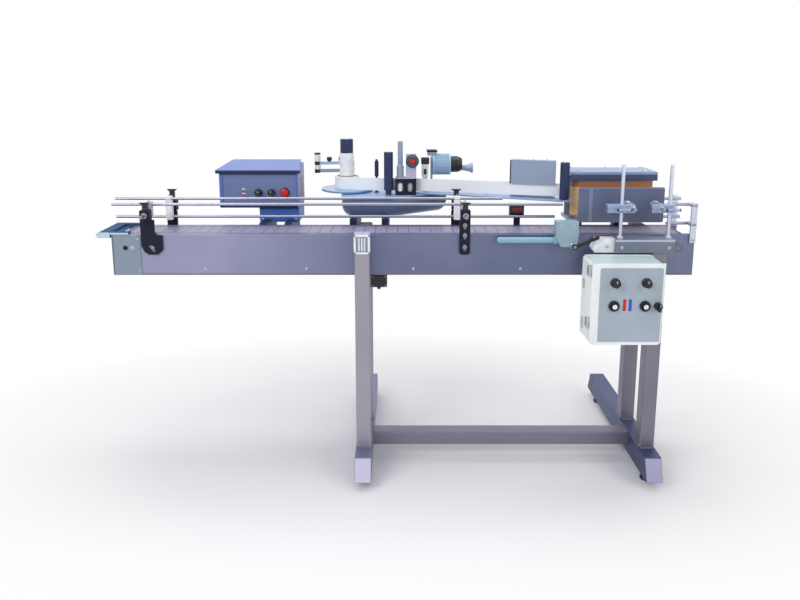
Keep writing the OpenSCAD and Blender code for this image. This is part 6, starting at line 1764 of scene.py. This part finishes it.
# %% Side clamp
CLAMP_LEFT, CLAMP_RIGHT, CLAMP_HIGH, CLAMP_FACE, CLAMP_BOLTS = 528, 601, 900, -40, (544, 586)
CLAMP_SIDE = [(CLAMP_LEFT, CLAMP_HIGH), (CLAMP_RIGHT, CLAMP_HIGH), (CLAMP_RIGHT, 850), (596.7, 816),
              (545, 816), (CLAMP_LEFT, 850)]
CLAMP_PAD = [(CLAMP_LEFT + 6, CLAMP_HIGH - 6), (CLAMP_RIGHT - 6, CLAMP_HIGH - 6),
             (CLAMP_RIGHT - 6, CLAMP_HIGH - 44), (CLAMP_LEFT + 6, CLAMP_HIGH - 44)]
BAR_SIDE = [(0, -10), (4, -9.2), (7.2, -7), (9.2, -4), (10, 0), (10, 172), (9, 174), (9, 178), (13, 179),
            (13, 190), (0, 190)]
BAR_LEFT, BAR_Z = 346, 835
LEVER_X, LEVER_Z, LEVER_TURN = 586, 820, 24
LEVER_PIN = [(0, 0), (11, 0), (11, 2), (9, 3.4), (9, 14.6), (5, 14.7), (5, 24), (4, 25), (0, 25)]
LEVER_SIDE = [(8, -5), (60, -4), (78, -5), (84, -2), (84, 2), (78, 5), (60, 4), (8, 5)]
LEVER_HUB = [(5.1, 0), (8.6, 0), (9, 0.6), (9, 7.4), (8.4, 8), (5.1, 8)]

clamp = Piece("side_clamp_cast")
clamp.plate(CLAMP_SIDE, "xz", CLAMP_FACE, -0.2, clamp_blue, 3.5, steps=4)
clamp.plate(CLAMP_PAD, "xz", CLAMP_FACE - 1, CLAMP_FACE + 2, clamp_blue, 1.5)
clamp.block((CLAMP_LEFT - 0.4, CLAMP_FACE / 2 - 0.6, CLAMP_HIGH - 54),
            (CLAMP_RIGHT + 0.4, CLAMP_FACE / 2 + 0.6, CLAMP_HIGH + 0.4), cut_steel, 0.2)
clamp.turned((BAR_LEFT, CLAMP_FACE / 2, BAR_Z), TO_RIGHT, BAR_SIDE, bar_cyan, 40)
clamp.screws(CLAMP_BOLTS, CLAMP_FACE - 1, CLAMP_HIGH - 14, TO_FRONT, 3.4)
clamp.turned((LEVER_X, CLAMP_FACE + 1, LEVER_Z), TO_FRONT, LEVER_PIN, bright_steel, 32)
clamp.done("frame", "steel_blue", "side_clamp")

lever = Piece("clamp_lever_black")
lever.plate(moved(LEVER_SIDE, LEVER_X, LEVER_Z), "xz", CLAMP_FACE - 21.4, CLAMP_FACE - 14.6, black_moulded,
            1.8, (-LEVER_TURN, "Y", (LEVER_X, 0, LEVER_Z)), 3)
lever.turned((LEVER_X, CLAMP_FACE - 14, LEVER_Z), TO_FRONT, LEVER_HUB, black_moulded)
lever.done("clamp_lever", "black_plastic", "clamp_lever")

# %% [markdown]
# The wrap belt is an endless woven band round two rollers, under a folded cover. The band is one
# closed loop of cloth with darker printed edges, so loops of the same plan make all of it: the
# wide tan one and two narrow brown ones.

# %% Wrap belt
BELT_X, BELT_Y, BELT_R, BELT_IN = (645, 870), 150, 30, 28
BELT_LOW, BELT_HIGH, SEAM_X = 886, 1013, 700


def belt_loop(radius):
    """Plan of a band round both rollers."""
    return arc(BELT_X[1], BELT_Y, radius, -90, 90, 20) + arc(BELT_X[0], BELT_Y, radius, 90, 270, 20)


belt = Piece("wrap_belt_band")
belt.collar(belt_loop(BELT_R), belt_loop(BELT_IN), "xy", BELT_LOW, BELT_HIGH, belt_fabric, 0.4)
for low, high in ((BELT_LOW + 1, BELT_LOW + 5), (BELT_HIGH - 22, BELT_HIGH - 1)):
    belt.collar(belt_loop(BELT_R + 0.25), belt_loop(BELT_R - 0.6), "xy", low, high, belt_band, 0.1)
belt.block((SEAM_X, BELT_Y + BELT_IN + 0.6, BELT_LOW + 0.4),
           (SEAM_X + 14, BELT_Y + BELT_R + 0.3, BELT_HIGH - 0.4), belt_band, 0.2)
belt.done("frame", "wrap_belt", "wrap_belt")

# %% Belt unit
UNIT_LEFT, UNIT_RIGHT, UNIT_BACK = 606, 906, 245
UNIT_FLOOR, COVER_LOW, COVER_TOP = 880, 1030, 1045
FLOOR_FRONT, COVER_FRONT, WALL_FRONT, WALL_BACK = 122, 115, 196, 202
SCREW_ROWS, GUSSETS = (136, 228), ((UNIT_FLOOR, UNIT_FLOOR + 50), (COVER_LOW, COVER_LOW - 50))
ROLLER_PIN = [(0, 0), (14, 0), (14, 7.6), (8, 7.7), (8, 151.5), (0, 151.5)]
PIN_NUT = [(0, -1), (9, -1), (9, 3), (7.8, 4.4), (0, 4.4)]

unit = Piece("belt_unit_folded")
unit.block((UNIT_LEFT, FLOOR_FRONT, UNIT_FLOOR - 12), (UNIT_RIGHT, UNIT_BACK, UNIT_FLOOR), steel_blue, 1.6)
unit.block((UNIT_LEFT, COVER_FRONT, COVER_LOW), (UNIT_RIGHT, UNIT_BACK, COVER_TOP), cover_blue, 2, steps=3)
# A navy strip over the cover's lower front edge, hanging 16 mm below it: painted shade in the gap under the
# cover.
unit.block((UNIT_LEFT + 0.5, COVER_FRONT - 0.6, COVER_LOW - 16),
           (UNIT_RIGHT - 0.5, COVER_FRONT + 3.4, COVER_LOW + 6), cover_shade_navy, 0.8)
unit.block((UNIT_LEFT, WALL_FRONT, UNIT_FLOOR - 1), (UNIT_RIGHT, WALL_BACK, COVER_LOW + 1), steel_blue, 1)
unit.screws((UNIT_LEFT + 24, (UNIT_LEFT + UNIT_RIGHT) / 2, UNIT_RIGHT - 24), SCREW_ROWS, COVER_TOP, UP, 3.4)
for x, (edge, tip) in product((UNIT_LEFT + 40, UNIT_RIGHT - 40), GUSSETS):
    gusset = [(WALL_BACK + 2, edge), (WALL_BACK + 34, edge), (WALL_BACK + 2, tip)]
    unit.plate(gusset, "yz", x - 3, x + 3, steel_blue, 0.8)
for x in BELT_X:
    unit.turned((x, BELT_Y, UNIT_FLOOR - 1), UP, ROLLER_PIN, post_steel, 32)
    unit.turned((x, BELT_Y, COVER_TOP), UP, PIN_NUT, zinc, 6)
unit.done("frame", "steel_blue", "belt_unit")

for job, x in zip(("idler", "drive"), BELT_X):
    plain_roller(f"belt_{job}_roller_turned", x, BELT_Y, BELT_LOW + 1, BELT_HIGH - 1, 27.6, 8, zinc,
                 f"belt_{job}_roller", "grey_steel")
